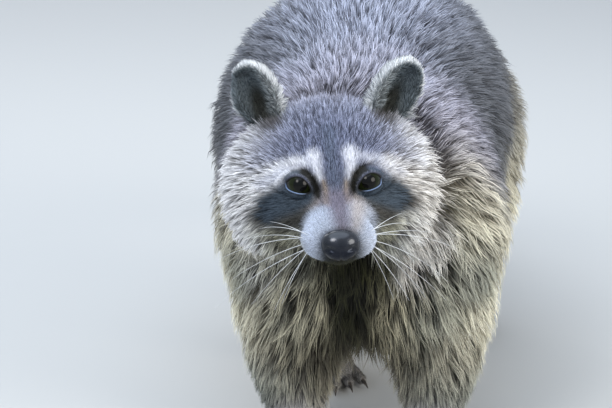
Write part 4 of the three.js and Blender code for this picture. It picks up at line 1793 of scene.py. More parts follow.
# ---- The skin ----
@dataclass
class Skin:
    """One skin over the whole animal, inside the solids by the coat's depth, with lids round the eyes.

    Each ring of a lid has its size as a share of the opening, its height over the eyeball, how much of it
    carries a painted pale reflection of the sky on its moist edge, and how much a painted shade of the fold.
    """

    marks: Landmarks
    plan: CoatPlan
    markings: Markings
    deepest: float = 34.0
    trunk_deepest: float = 30.0
    neck_blend: float = 26.0
    ear_blend: float = 5.0
    crease: float = 1.3
    fine: float = 1.75
    coarse: float = 5.6
    rough: float = 8.0
    paw_step: float = 1.6
    lid_sides: int = 56
    lid_rings: tuple[tuple[float, float, float, float], ...] = (
        (0.94, -0.5, 0.0, 0.0),
        (1.0, 0.12, 0.8, 0.0),
        (1.05, 0.405, 1.0, 0.0),
        (1.11, 0.63, 0.15, 0.3),
        (1.18, 0.765, 0.0, 0.7),
        (1.27, 0.855, 0.0, 0.7),
        (1.38, 0.9, 0.0, 0.4),
        (1.55, 0.855, 0.0, 0.0),
        (1.78, 0.81, 0.0, 0.0),
        (2.1, 0.72, 0.0, 0.0),
    )

    def build(self, flesh: Flesh) -> None:
        """Works out the skin's field and its meshes.

        Args:
            flesh: the solids of flesh.
        """
        self.solids = flesh.field(self.deepest, FLESH)
        self.trunk = flesh.field(self.trunk_deepest, [n for n in FLESH if n not in HEAD_SOLIDS])
        grid = self.solids
        head = self.marks.head.origin
        x = steps(grid.x[0], grid.x[-1], head[0] - 68, head[0] + 68, self.fine, self.coarse)
        y = steps(grid.y[0], grid.y[-1], head[1] - 62, head[1] + 76, self.fine, self.coarse)
        z = steps(0.0, grid.z[-1], head[2] - 66, head[2] + 84, self.fine, self.coarse)
        z = np.concatenate([[-self.coarse], np.arange(0, 27, self.paw_step), z[z > 27.5]])
        paws = np.array([self.marks.boxes[p.node] for p in PAWS])
        x, y = (self.closer(places, paws[:, :, k]) for k, places in enumerate((x, y)))
        log.info("skin grid %d x %d x %d", len(x), len(y), len(z))
        values = resample(grid, x, y, z)
        rough = LevelGrid(*(np.arange(a[0], a[-1] + 8, self.rough) for a in (x, y, z)), np.zeros(1))
        rough.values = self.plan.depth(rough.points()).reshape([len(rough.x), len(rough.y), len(rough.z)])
        depth = resample(rough, x, y, z)
        self.grid = LevelGrid(x, y, z, np.maximum(values + depth, -z[None, None, :]))
        self.shape_paws()
        self.shape_head()
        self.closed = LevelGrid(self.grid.x, self.grid.y, self.grid.z, self.grid.values.copy())
        self.open_eyes()
        points, quads = self.grid.surface()
        log.info("skin %d points %d faces", len(points), len(quads))
        self.points, self.quads = self.largest(points, quads)
        # no hair on the walls behind the lids
        self.bare = self.closed.sample(self.points) < -0.5
        self.painted_sky_reflection = np.zeros(len(self.points))
        self.hood = np.zeros(len(self.points))
        self.normals = self.grid.slopes(self.points)
        for eye in EYES:
            self.add_lids(eye)

    def closer(self, places: Array, spans: Array) -> Array:
        """Halves the wider gaps of an axis's places inside some spans.

        Args:
            places: the places.
            spans: the ends of each span, m by 2.

        Returns:
            The places with those between added.
        """
        between = (places[1:] + places[:-1]) / 2
        inside = np.any([(between > low - 2) & (between < high + 2) for low, high in spans], axis=0)
        return np.sort(np.concatenate([places, between[inside & (np.diff(places) > 3)]]))

    def largest(self, points: Array, quads: Array) -> tuple[Array, Array]:
        """Keeps the biggest connected part of a mesh.

        Args:
            points: its points.
            quads: its faces.

        Returns:
            The points and faces of that part.
        """
        parent = np.arange(len(points))
        edges = np.concatenate([quads[:, [0, 1]], quads[:, [1, 2]], quads[:, [2, 3]]])
        while True:
            low = np.minimum(parent[edges[:, 0]], parent[edges[:, 1]])
            before = parent.copy()
            np.minimum.at(parent, edges[:, 0], low)
            np.minimum.at(parent, edges[:, 1], low)
            parent = parent[parent]
            if np.array_equal(before, parent):
                break
        main = np.bincount(parent).argmax()
        keep = parent == main
        number = np.cumsum(keep) - 1
        return points[keep], number[quads[keep[quads[:, 0]]]]

    def head_block(self) -> tuple[tuple[slice, slice, slice], Array]:
        """The block of the grid that holds the head, and its places on the head's axes.

        Returns:
            The block's slices, and its places.
        """
        head = self.marks.head.origin
        spans, block = self.grid.block(head - np.array([110, 66, 112]), head + np.array([110, 120, 90]))
        return spans, self.marks.head.back(block.points())

    def shape_head(self) -> None:
        """Gives the head its own smooth masses, ears, eye ridges and mouth."""
        spans, local = self.head_block()
        world = self.marks.head.out(local)
        shape = self.grid.values[spans].shape
        table = self.plan.depths[:, None].astype(np.float32)
        near = np.abs(self.grid.values[spans]).ravel() < 26
        depth = np.full(len(local), 8.0)
        depth[near] = self.plan.in_batches(world[near], table)[:, 0]
        outline = HeadShape().distance(local)
        own = outline + depth
        trunk = self.trunk.sample(world) + depth
        both = smooth_min(own, trunk, self.neck_blend)
        for side in (1, -1):
            both = smooth_min(both, Ear(side).distance(local), self.ear_blend)
        both = both + HeadShape().mouth_line(local) * self.crease
        self.grid.values[spans] = both.reshape(shape)

    def shape_paws(self) -> None:
        """Gives the paws their palms and toes."""
        for paw in PAWS:
            low, high = self.marks.boxes[paw.node]
            spans, block = self.grid.block(low - 14.0, high + 14.0)
            points = block.points()
            share = ramp(34.0, 19.0, points[:, 2])
            own = np.maximum(paw.distance(points, self.marks), 0.6 - points[:, 2])
            both = block.values.ravel() * (1 - share) + own * share
            self.grid.values[spans] = both.reshape(block.values.shape)

    def open_eyes(self) -> None:
        """Hollows the skin behind and in front of the eyeballs."""
        spans, local = self.head_block()
        found = self.grid.values[spans].ravel()
        for eye in EYES:
            ball = np.linalg.norm(local - eye.centre, axis=1) - (eye.radius + 0.5)
            scale, out = eye.opening(local)
            hole = np.maximum((scale - 1.3) * 6.0, -2.0 - out)
            found = np.maximum(found, -np.minimum(ball, hole))
        self.grid.values[spans] = found.reshape(self.grid.values[spans].shape)

    def skin_depth(self, starts: Array, direction: Array) -> Array:
        """How far out along a direction the closed skin lies from each start.

        Args:
            starts: places, n by 3.
            direction: the way out.

        Returns:
            A distance for each start.
        """
        reach = np.arange(22.0, -10.0, -0.5)
        found = np.full(len(starts), -10.0)
        open_ = np.ones(len(starts), bool)
        last = self.closed.sample(starts + direction * reach[0])
        for near, far in zip(reach[1:], reach[:-1], strict=True):
            value = self.closed.sample(starts + direction * near)
            hit = open_ & (value < 0)
            t = last / np.where(hit, last - value, 1.0)
            found[hit] = (far + (near - far) * t)[hit]
            open_ &= ~hit
            last = value
        return found

    def add_lids(self, eye: EyeShape) -> None:
        """Lids round one eye: a moist edge against the ball, a fold above, running out into the skin.

        Args:
            eye: the eye.
        """
        angles = np.linspace(0, 2 * math.pi, self.lid_sides, endpoint=False)
        edge = eye.edge(angles)
        head = self.marks.head
        centre = head.out(eye.centre[None])[0]
        aside, above, look = (head.turned(row) for row in eye.axes)
        rows = []
        for number, (scale, height, _, _) in enumerate(self.lid_rings):
            flat = edge * scale
            reach = np.linalg.norm(flat, axis=1)
            starts = centre + flat[:, :1] * aside + flat[:, 1:] * above
            out = dome(eye.radius + height, reach, 1.0)
            if number > 1:
                skin = self.skin_depth(starts, look)
                fold = -0.4 * math.exp(-(((scale - 1.38) / 0.1) ** 2)) * np.clip(np.sin(angles), 0, 1)
                blend = float(ramp(1.25, 1.9, np.array(scale)))
                over = dome(eye.radius + height, reach)
                out = smooth_max(over * (1 - blend) + skin * blend, skin + 0.15 * (1 - blend), 1.5) + fold
                out = np.maximum(out, dome(eye.radius + 0.4, reach))
            if number == len(self.lid_rings) - 1:
                out = skin - 1.2
            rows.append(starts + out[:, None] * look)
        points = np.concatenate(rows)
        quads = ring_faces(len(self.lid_rings), self.lid_sides)
        middle = points[quads[0]]
        face = np.cross(middle[1] - middle[0], middle[3] - middle[0])
        if face @ look < 0:
            quads = quads[:, ::-1]
        self.quads = np.concatenate([self.quads, quads + len(self.points)])
        self.normals = np.concatenate([self.normals, point_normals(points, halves(quads))])
        self.points = np.concatenate([self.points, points])
        # moist: the lower lid's moist edge, which gets a painted pale reflection of the sky; shaded: the
        # upper side, which gets painted shade under the fold
        moist, shaded = ramp(0.1, 0.7, -np.sin(angles - 0.45)), ramp(0.1, 0.7, np.sin(angles + 0.2))
        for scale, _, wet, fold in self.lid_rings:
            self.bare = np.concatenate([self.bare, np.full(len(angles), scale < 1.12)])
            self.painted_sky_reflection = np.concatenate([self.painted_sky_reflection, wet * moist])
            self.hood = np.concatenate([self.hood, fold * shaded])

    def dress(self, finish: Finish) -> Piece:
        """Makes the skin's object, with the coat's markings as its colours, and painted shade and a painted
        sky reflection round the eyes.

        Args:
            finish: the skin's finish.

        Returns:
            The skin.
        """
        skin = make_mesh("skin", self.points, [self.quads])
        found = self.markings.shades(self.points, self.normals)
        colour = found.under * 0.55 + found.tip * 0.25
        # painted shade of the lid fold (hood), then a painted pale blue reflection of the sky along the moist
        # lower lid edge
        for tint, share in ((linear(66, 70, 86), self.hood), (linear(114, 133, 166), self.painted_sky_reflection)):
            colour = colour * (1 - share[:, None]) + np.array(tint) * share[:, None]
        paint(skin, "coat_colour", colour)
        skin.data.materials.append(finish.material())
        return skin


# ---- The coat ----
@dataclass(frozen=True)
class LayerCut:
    """How the hairs of a layer differ: shares of the length, width and number, and how far they stand up."""

    length: float
    width: float
    number: float
    lift: float


class Layer(Enum):
    """The two layers of the coat."""

    UNDERFUR = LayerCut(0.62, 1.5, 0.3, 1.15)
    GUARD_HAIR = LayerCut(1.0, 1.0, 0.7, 1.0)


class Region(Enum):
    """The coat's regions, in the order in which they are made."""

    FACE = 0
    CROWN = 1
    RUFF = 2
    BREAST = 3
    BACK = 4
    FLANK = 5
    FORE_LIMBS = 6
    HIND_LIMBS = 7
    TAIL = 8


@dataclass
class Locks:
    """Locks of hair: their roots, the skin's normals and the coat's flow there, their length and depth."""

    place: Array
    normal: Array
    flow: Array
    length: Array
    depth: Array

    def part(self, chosen: Array) -> "Locks":
        """Some of the locks."""
        rows = (self.place, self.normal, self.flow, self.length, self.depth)
        return Locks(*(row[chosen] for row in rows))

    def facing(self) -> Array:
        """How far the flow leaves the skin; below 0 it runs into it."""
        return (self.flow * self.normal).sum(axis=1)

    def on_shoulders(self, share: Array) -> Array:
        """A share for each lock, brought to 0 where the hair is short or low on the body."""
        return share * ramp(14.0, 20.0, self.length) * ramp(150.0, 215.0, self.place[:, 2])

    def against(self) -> Array:
        """How far the shoulders' front slopes face against the coat's flow, 0 to 1."""
        return self.on_shoulders(ramp(-0.15, -0.55, self.facing()))


@dataclass
class Coat:
    """The coat: tapered flat strands in locks over the skin, made as joined meshes."""

    skin: Skin
    plan: CoatPlan
    markings: Markings
    cover_lengths: Triple = (6.0, 16.0, 30.0)
    cover: Triple = (8.3, 7.5, 6.4)
    paw_share: float = 0.28
    shoulder_share: float = 0.8
    limit: int = 190000
    patch: float = 0.003

    def roots(self, rng: Random) -> tuple[Array, Array]:
        """Scatters the locks' roots over the skin, closer together where the hair is short.

        Args:
            rng: the source of the scatter.

        Returns:
            The places and normals of the roots.
        """
        skin = self.skin
        triangles = halves(skin.quads[~skin.bare[skin.quads].any(axis=1)])
        a, b, c = (skin.points[triangles[:, k]] for k in range(3))
        area = np.linalg.norm(np.cross(b - a, c - a), axis=1) / 2
        middle = (a + b + c) / 3
        sample = Locks(middle, skin.normals[triangles[:, 0]], *self.plan.lie(middle))
        density = self.density(sample.length) / self.strands_in_lock(sample.length)
        density = density * self.allowed(middle, sample.normal)
        density *= 1 + self.shoulder_share * sample.against()
        density *= np.interp(middle[:, 2], [18, 30], [self.paw_share, 1.0])
        count = np.floor(area * density + rng.random(len(area))).astype(int)
        owner = np.repeat(np.arange(len(area)), count)
        u, v = rng.random(len(owner)), rng.random(len(owner))
        flip = u + v > 1
        u, v = np.where(flip, 1 - u, u), np.where(flip, 1 - v, v)
        shares = (1 - u - v)[:, None], u[:, None], v[:, None]
        place = sum(corner[owner] * share for corner, share in zip((a, b, c), shares, strict=True))
        normal = sum(skin.normals[triangles[owner, k]] * share for k, share in enumerate(shares))
        return place, unit(normal)

    def width(self, length: Array) -> Array:
        """A strand's width for its length."""
        return np.interp(length, [3, 6, 12, 20, 34, 48], [0.29, 0.35, 0.45, 0.57, 0.68, 0.70])

    def strands_in_lock(self, length: Array) -> Array:
        """How many strands a lock has for its length."""
        return np.interp(length, [4, 8, 14, 25, 40], [3, 4, 6, 9, 12])

    def density(self, length: Array) -> Array:
        """Strands for each square millimetre of skin."""
        cover = np.interp(length, self.cover_lengths, self.cover)
        return cover / (self.width(length) * length * 0.6)

    def allowed(self, places: Array, normals: Array) -> Array:
        """Where hair grows: not on the soles or the nose, nor on and behind the lids' edges.

        Args:
            places: places on the skin, n by 3.
            normals: the skin's normals there.

        Returns:
            1 where hair grows and 0 where none does.
        """
        local = self.plan.marks.head.back(places)
        grows = np.ones(len(places))
        near = np.linalg.norm(local, axis=1) < 90
        for eye in EYES:
            scale, out = eye.opening(local)
            grows[near & (scale < 1.11) & (out > -8)] = 0
            grows[np.linalg.norm(local - eye.centre, axis=1) < eye.radius + 0.2] = 0
        grows[near & (NoseShape().distance(local) < 0.1)] = 0
        grows *= 1 - ramp(8.0, 4.0, places[:, 2]) * ramp(-0.3, -0.6, normals[:, 2])
        return grows

    def build(self, finish: Finish) -> list[Piece]:
        """Makes every piece of the coat.

        Args:
            finish: the coat's finish.

        Returns:
            The pieces.
        """
        rng = np.random.default_rng(20)
        place, normal = self.roots(rng)
        log.info("coat: %d locks", len(place))
        locks = Locks(place, normal, *self.plan.lie(place))
        # where a shoulder faces against the flow, the hair turns outwards and back
        turn = locks.against()[:, None]
        outward = 1.3 * normal[:, 0] / (np.abs(normal[:, 0]) + 0.5)
        back = np.stack([outward, np.full(len(place), 0.8), np.full(len(place), 0.15)], axis=1)
        locks.flow = unit(locks.flow * (1 - turn) + unit(back) * turn)
        region = self.regions(place)
        locks.length = locks.length * rng.uniform(0.82, 1.12, len(place))
        pieces = []
        for part in Region:
            mine = locks.part(region == part.value)
            for layer in Layer:
                pieces += self.piece(part, layer, mine, rng, finish)
        return pieces

    def settle(self, points: Array, slack: Array, length: Array) -> Array:
        """Lays strands down inside the animal's outline and lifts them off the skin.

        Args:
            points: strands by stations by 3.
            slack: how far each strand may stand out of the outline.
            length: the strands' lengths.

        Returns:
            The points, moved.
        """
        long = length > 7
        moved = points[long]
        for station in range(1, points.shape[1]):
            place = moved[:, station]
            out = self.skin.solids.sample(place) - slack[long]
            far = out > 0
            place[far] -= self.skin.solids.slopes(place[far]) * (out[far] * 0.9)[:, None]
            under = 0.8 - self.skin.closed.sample(place)
            deep = under > 0
            place[deep] += self.skin.closed.slopes(place[deep]) * np.minimum(under[deep], 6.0)[:, None]
            moved[:, station] = place
        shift = moved - points[long]
        eased = shift.copy()
        eased[:, 1:-1] = shift[:, 1:-1] * 0.5 + (shift[:, :-2] + shift[:, 2:]) * 0.25
        points[long] += eased
        return points

    def regions(self, places: Array) -> Array:
        """The region's number for each place; a later region of the list covers an earlier one.

        Args:
            places: places on the skin, n by 3.

        Returns:
            A number for each.
        """
        local = self.plan.marks.head.back(places)
        y, z = places[:, 1], places[:, 2]
        tail, _, _ = self.plan.tail_share(places)
        chest_low, chest_high = self.plan.marks.boxes["chest"]
        middle = (chest_low[2] + chest_high[2]) / 2
        in_head = (local[:, 1] < 92) & (local[:, 2] > -96) & (np.abs(local[:, 0]) < 100)
        found = np.full(len(places), Region.BACK.value)
        for region, inside in (
            (Region.FLANK, z < middle + 20),
            (Region.BREAST, (y < chest_low[1] + 60) & (z < middle + 60)),
            (Region.FORE_LIMBS, (z < 118) & (y < -120)),
            (Region.HIND_LIMBS, (z < 118) & (y >= -120)),
            (Region.RUFF, in_head),
            (Region.CROWN, in_head & (local[:, 2] > 12)),
            (Region.FACE, in_head & (local[:, 1] < 8)),
            (Region.TAIL, tail > 0.5),
        ):
            found[inside] = region.value
        return found

    def unwrap(self, region: Region, places: Array) -> Array:
        """Where each root lies on the unwrap of the skin's own shape, both shares from 0 to 1.

        Args:
            region: the region they lie in.
            places: the roots.

        Returns:
            Places on the unwrap, n by 2.
        """
        if region in (Region.FACE, Region.CROWN, Region.RUFF):
            ahead = unit(self.plan.marks.head.back(places) - np.array([0.0, 45.0, -12.0]))
            angle = np.arccos(np.clip(-ahead[:, 1], -1, 1))
            heading = np.arctan2(ahead[:, 2], ahead[:, 0])
            u, v = angle * np.cos(heading), angle * np.sin(heading)
        elif region is Region.TAIL:
            _, v, heading = along_route(places, self.plan.tail)
            side = unit(np.cross(heading, np.array([0.0, 0.0, 1.0])))
            joints = len(self.plan.tail) - 1
            q = places - self.plan.tail[np.clip((v * joints).astype(int), 0, joints - 1)]
            u = np.arctan2((q * side).sum(1), (q * np.cross(side, heading)).sum(1))
        elif region in (Region.FORE_LIMBS, Region.HIND_LIMBS):
            left = places[:, 0] > -3.0
            x, y = (np.where(left, places[left, k].mean(), places[~left, k].mean()) for k in (0, 1))
            u = np.arctan2(places[:, 0] - x, places[:, 1] - y) + np.where(left, 0, 7.0)
            v = places[:, 2]
        else:
            low, high = self.plan.marks.boxes["abdomen"]
            centre = (low + high) / 2
            u = np.arctan2(places[:, 0] - centre[0], places[:, 2] - centre[2] + 20)
            v = places[:, 1]
        flat = np.stack([u, v], axis=1)
        low, high = flat.min(0), flat.max(0)
        return 0.01 + 0.98 * (flat - low) / (high - low)

    def piece(
        self, region: Region, layer: Layer, locks: Locks, rng: Random, finish: Finish
    ) -> list[Piece]:
        """One region's hairs of one layer, as few pieces as keep each under the limit.

        Args:
            region: the region.
            layer: which layer.
            locks: the region's locks.
            rng: the source of the scatter.
            finish: the coat's finish.

        Returns:
            The pieces made.
        """
        many = self.strands_in_lock(locks.length) * layer.value.number
        count = np.maximum(np.floor(many + rng.random(len(many))).astype(int), 0)
        lock = np.repeat(np.arange(len(many)), count)
        if not len(lock):
            return []
        strands = Strands.grow(self, layer, locks, lock, rng)
        strands.uv = self.unwrap(region, locks.place)[lock]
        shares = int(math.ceil(strands.triangles() / self.limit))
        order = np.argsort(locks.place[lock, 0], kind="stable") if shares > 1 else np.arange(len(lock))
        title = f"coat_{region.name}_{layer.name}".lower()
        made = []
        for k, part in enumerate(np.array_split(order, shares)):
            number = f"_{k + 1}" if shares > 1 else ""
            made.append(strands.mesh(title + number, np.sort(part), self.patch, finish))
        return made


@dataclass
class Strands:
    """Many strands: arrays of strands by stations, and where each roots across its lock and on the unwrap."""

    stations: Array
    sides: Array
    widths: Array
    shading: Array
    colours: Array
    across: Array
    uv: Array = field(default_factory=lambda: np.zeros((0, 2)))

    @classmethod
    def grow(cls, coat: Coat, layer: Layer, locks: Locks, lock: Array, rng: Random) -> "Strands":
        """Grows the strands of a set of locks.

        Args:
            coat: the coat they belong to.
            layer: which layer they are in.
            locks: the locks.
            lock: for each strand, the number of its lock.
            rng: the source of the scatter.

        Returns:
            The strands.
        """
        n, many, length = len(lock), len(locks.length), locks.length
        # each lock's own direction: along the coat's flow, lifted just enough to fill its depth
        tangent = unit(locks.flow - locks.normal * locks.facing()[:, None] + 1e-6)
        stray = rng.normal(0, 1, (many, 2))
        wild = np.interp(length, [4, 12, 34, 46], [0.10, 0.13, 0.17, 0.24])
        tangent = unit(tangent + np.cross(locks.normal, tangent) * (stray[:, :1] * wild[:, None]))
        lift = np.clip(locks.depth / np.maximum(length, 1e-6) * layer.value.lift, 0.08, 0.9)
        lift = np.clip(lift * (1 + 0.22 * stray[:, 1]) + 0.05, 0.08, 0.95)
        slope = np.sqrt(1 - lift**2)
        own = length[lock] * layer.value.length * rng.uniform(0.78, 1.08, n)
        ahead, out = tangent[lock], locks.normal[lock]
        aside = np.cross(out, ahead)
        up = (lift[lock] * rng.normal(1.0, 0.12, n))[:, None]
        along = slope[lock][:, None]
        # the roots of a lock are spread over a small patch and its tips draw together
        spread = np.interp(length, [4, 10, 20, 30, 44], [0.7, 1.2, 2.0, 2.6, 4.0])[lock]
        radius, angle = spread * np.sqrt(rng.random(n)), rng.uniform(0, 2 * math.pi, n)
        offset = ahead * (radius * np.cos(angle))[:, None] + aside * (radius * np.sin(angle))[:, None]
        gather = np.interp(length, [4, 12, 30], [0.25, 0.5, 0.62])[lock][:, None]
        wander = rng.normal(0, 1, (n, 3)) * (own * 0.045)[:, None]
        stations = cls.stations_for(float(np.median(length)))
        # long locks wave from side to side; each strand keeps most of its lock's wave
        wave_size = np.interp(length, [20, 30, 46], [0.0, 0.02, 0.055]) * rng.normal(1.0, 0.4, many)
        wave_start, wave_turn = rng.uniform(0, 2 * math.pi, many), rng.uniform(0.45, 0.85, many)
        start, turn = rng.normal(0, 0.35, n) + wave_start[lock], wave_turn[lock] * 2 * math.pi
        wave_size = wave_size[lock] * own * rng.uniform(0.6, 1.3, n)
        # hair on slopes that face against the flow bends back over them
        against = locks.on_shoulders(np.minimum(locks.facing() + 0.15, 0.0))[lock][:, None]
        bend = out * (0.55 * against) + np.array([0.0, -0.45, 0.0]) * against
        sunk = np.interp(own, [2, 4, 8, 35], [0.16, 0.34, 0.6, 1.4])
        root = locks.place[lock] + offset - out * sunk[:, None]
        spots = []
        for t in stations:
            rise = out * (up * (1.35 * t - 0.35 * t * t))
            droop = np.array([0.0, 0.0, -1.0]) * (0.10 * t * t * ramp(10, 30, own))[:, None]
            swing = wave_size * (np.sin(start + turn * t) - np.sin(start)) * min(1.0, 2 * t)
            spot = root + (rise + ahead * (along * t) + droop + bend * t * t) * own[:, None]
            spot = spot - offset * (gather * t**1.2) + wander * t * t
            spots.append(spot + aside * swing[:, None] + out * (0.4 * swing)[:, None])
        slack = np.interp(length, [8, 30], [0.5, 1.6])[lock] + rng.normal(0, 1.6, many)[lock]
        points = coat.settle(np.stack(spots, axis=1), slack, own)
        points[:, :, 2] = np.maximum(points[:, :, 2], 0.4)
        # flat blades, each facing roughly out of the coat
        roll = rng.normal(0, 0.55, n)[:, None]
        directions = unit(np.gradient(points, axis=1))
        facing = unit(out * np.cos(roll) + aside * np.sin(roll))
        sides = unit(np.cross(facing[:, None, :], directions))
        profile = np.interp(stations, [0, 0.35, 0.7, 1], [0.75, 1.0, 0.72, 0.0])
        widths = coat.width(own)[:, None] * layer.value.width * profile[None]
        widths = widths * rng.uniform(0.75, 1.2, n)[:, None]
        blade = unit(np.cross(directions, sides))
        shading = unit(blade * 0.55 + out[:, None, :] * 0.65)
        colours = cls.colour(coat, layer, locks, lock, points, stations, rng)
        across = 0.5 + 0.5 * radius * np.sin(angle) / np.maximum(spread, 1e-6)
        return cls(points, sides, widths, shading, colours, across)

    @staticmethod
    def stations_for(length: float) -> tuple[float, ...]:
        """Shares along a strand at which it bends, more of them for longer hair.

        Args:
            length: the middle hair length.

        Returns:
            The shares, from root to tip.
        """
        if length > 36:
            return (0.0, 0.24, 0.5, 0.76, 1.0)
        return (0.0, 0.5, 1.0) if length < 19 else (0.0, 0.34, 0.68, 1.0)

    @staticmethod
    def colour(
        coat: Coat,
        layer: Layer,
        locks: Locks,
        lock: Array,
        points: Array,
        stations: tuple[float, ...],
        rng: Random,
    ) -> Array:
        """Root-to-tip colours: dark roots, partly the hair's own dark base and partly painted shade deep in
        the coat, and banded tips, some locks dark-tipped.

        Args:
            coat: the coat they belong to.
            layer: which layer.
            locks: the locks.
            lock: the number of each strand's lock.
            points: the strands' stations.
            stations: how far along each station is.
            rng: the source of the scatter.

        Returns:
            Linear colours, strands by stations by 3.
        """
        n, many = len(lock), len(locks.length)
        seen = points[:, 0] * 0.45 + points[:, -1] * 0.55
        found = coat.markings.shades(seen, locks.normal[lock])
        lock_roll = rng.random(many)[lock]
        dark = ((lock_roll * 0.6 + rng.random(n) * 0.4) < found.pepper).astype(float)[:, None]
        tip = found.tip * (1 - dark) + (found.under * 0.75 + found.tip * 0.16) * dark
        bright = np.exp(rng.normal(0, 0.16, (n, 1)) + rng.normal(0, 0.12, (many, 1))[lock])
        tip = tip * bright
        if layer is Layer.UNDERFUR:
            tip = found.under * 0.72 + found.tip * 0.22
        long = ramp(5, 22, locks.length[lock])[:, None]
        start = 0.12 + 0.3 * long
        # roots darker than the underfur's colour, and darker still in long hair: the hair's own dark base
        # deepened by painted shade
        root = found.under * 0.8 * (0.72 + 0.2 * (1 - long)) + tip * 0.12 * (1 - long)
        rows = []
        for t in stations:
            rise = np.clip((t - start) / (0.78 - start), 0, 1)
            rows.append(root * (1 - rise) + tip * rise)
        return np.clip(np.stack(rows, axis=1), 0.0, 0.95)

    def triangles(self) -> int:
        """How many triangles the strands have in all."""
        return len(self.stations) * (2 * (self.stations.shape[1] - 1) - 1)

    @staticmethod
    def doubled(values: Array) -> Array:
        """Values at the stations, brought to the blades' points: two at each station but the tip."""
        pairs = np.repeat(values[:, :-1], 2, axis=1)
        return np.concatenate([pairs, values[:, -1:]], axis=1).reshape(-1, values.shape[-1])

    def mesh(self, name: str, part: Array, patch: float, finish: Finish) -> Piece:
        """Joins some of the strands into one piece.

        Args:
            name: the piece's name.
            part: which strands.
            patch: the size of a lock's patch on the unwrap.
            finish: the coat's finish.

        Returns:
            The piece.
        """
        p, s, w = self.stations[part], self.sides[part], self.widths[part]
        n, k = len(part), self.stations.shape[1]
        half = s[:, :-1] * w[:, :-1, None] / 2
        pairs = np.stack([p[:, :-1] - half, p[:, :-1] + half], axis=2).reshape(n, 2 * (k - 1), 3)
        points = np.concatenate([pairs, p[:, -1:]], axis=1)
        base = (np.arange(n) * (2 * k - 1))[:, None]
        quads = [base + np.array([2 * j + 1, 2 * j, 2 * j + 2, 2 * j + 3]) for j in range(k - 2)]
        tips = base + np.array([2 * k - 3, 2 * k - 4, 2 * k - 2])
        made = make_mesh(name, points.reshape(-1, 3), [*quads, tips])
        paint(made, "coat_colour", self.doubled(self.colours[part]))
        set_normals(made, self.doubled(self.shading[part]))
        share = np.concatenate([np.repeat(np.linspace(0, 1, k)[:-1], 2), [1.0]])
        side = np.concatenate([np.tile([-0.12, 0.12], k - 1), [0.0]])
        u = self.uv[part][:, :1] + (np.clip(self.across[part], 0, 1)[:, None] - 0.5 + side[None]) * patch
        v = self.uv[part][:, 1:] + (share[None] - 0.5) * patch
        lay_out(made, "OFBake", np.stack([u, v], axis=-1).reshape(-1, 2))
        made.data.materials.append(finish.material())
        return made


# ---- Eyes and nose ----
@dataclass
class Eyeball:
    """An eyeball with a slightly raised cornea, looking ahead."""

    shape: EyeShape
    marks: Landmarks
    turns: int = 48
    rows: int = 32
    gaze: Triple = (0.02, -0.95, 0.26)
    inset: float = 0.35
    cornea: float = 0.55

    def build(self) -> Piece:
        """Makes the eyeball, its poles along the gaze.

        Returns:
            The eyeball.
        """
        look = unit(np.array(self.gaze))
        aside = unit(np.cross(look, np.array([0.0, 0.0, 1.0])))
        above = np.cross(aside, look)
        tilt, turn = np.meshgrid(
            np.linspace(0, math.pi, self.rows + 1)[1:-1],
            np.linspace(0, 2 * math.pi, self.turns, endpoint=False),
            indexing="ij",
        )
        radius = self.shape.radius - self.inset + self.inset * np.exp(-((tilt / self.cornea) ** 2))
        wide = np.sin(tilt)
        flat = (np.cos(turn) * wide)[..., None] * aside + (np.sin(turn) * wide)[..., None] * above
        points = (flat + np.cos(tilt)[..., None] * look) * radius[..., None]
        front, back = look * self.shape.radius, -look * (self.shape.radius - self.inset)
        points = np.concatenate([points.reshape(-1, 3), [front, back]]) + self.shape.centre
        quads = ring_faces(self.rows - 1, self.turns)[:, [0, 3, 2, 1]]
        ring = np.arange(self.turns)
        following = (ring + 1) % self.turns
        last = (self.rows - 2) * self.turns
        top = np.stack([np.full(self.turns, len(points) - 2), ring, following], axis=1)
        bottom = np.stack([np.full(self.turns, len(points) - 1), following + last, ring + last], axis=1)
        side = "left" if self.shape.side > 0 else "right"
        made = make_mesh(f"eyeball_{side}", self.marks.head.out(points), [quads, top, bottom])
        share = np.concatenate([(tilt / math.pi).ravel(), [0.0, 1.0]])
        around = np.concatenate([(turn / (2 * math.pi)).ravel(), [0.5, 0.5]])
        lay_out(made, "iris", np.stack([around, share], axis=1))
        made.data.materials.append(EyeFinish().material())
        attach(made, "root")
        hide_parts(f"eye_{side}")
        return made


@dataclass
class Nose:
    """The nose pad, with nostrils, set into the end of the muzzle."""

    marks: Landmarks
    shape: NoseShape = NoseShape()
    cell: float = 0.55
    margin: float = 3.0

    def build(self) -> Piece:
        """Makes the nose.

        Returns:
            The nose.
        """
        reach = np.array(self.shape.half) + self.margin
        axes = [np.arange(c - r, c + r, self.cell) for c, r in zip(self.shape.at, reach, strict=True)]
        grid = LevelGrid(*axes, np.zeros(1))
        grid.values = self.shape.distance(grid.points()).reshape([len(a) for a in axes])
        points, quads = grid.surface()
        made = make_mesh("nose_pad", self.marks.head.out(points), [quads])
        made.data.materials.append(NoseFinish().material())
        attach(made, "root")
        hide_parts("nose")
        return made


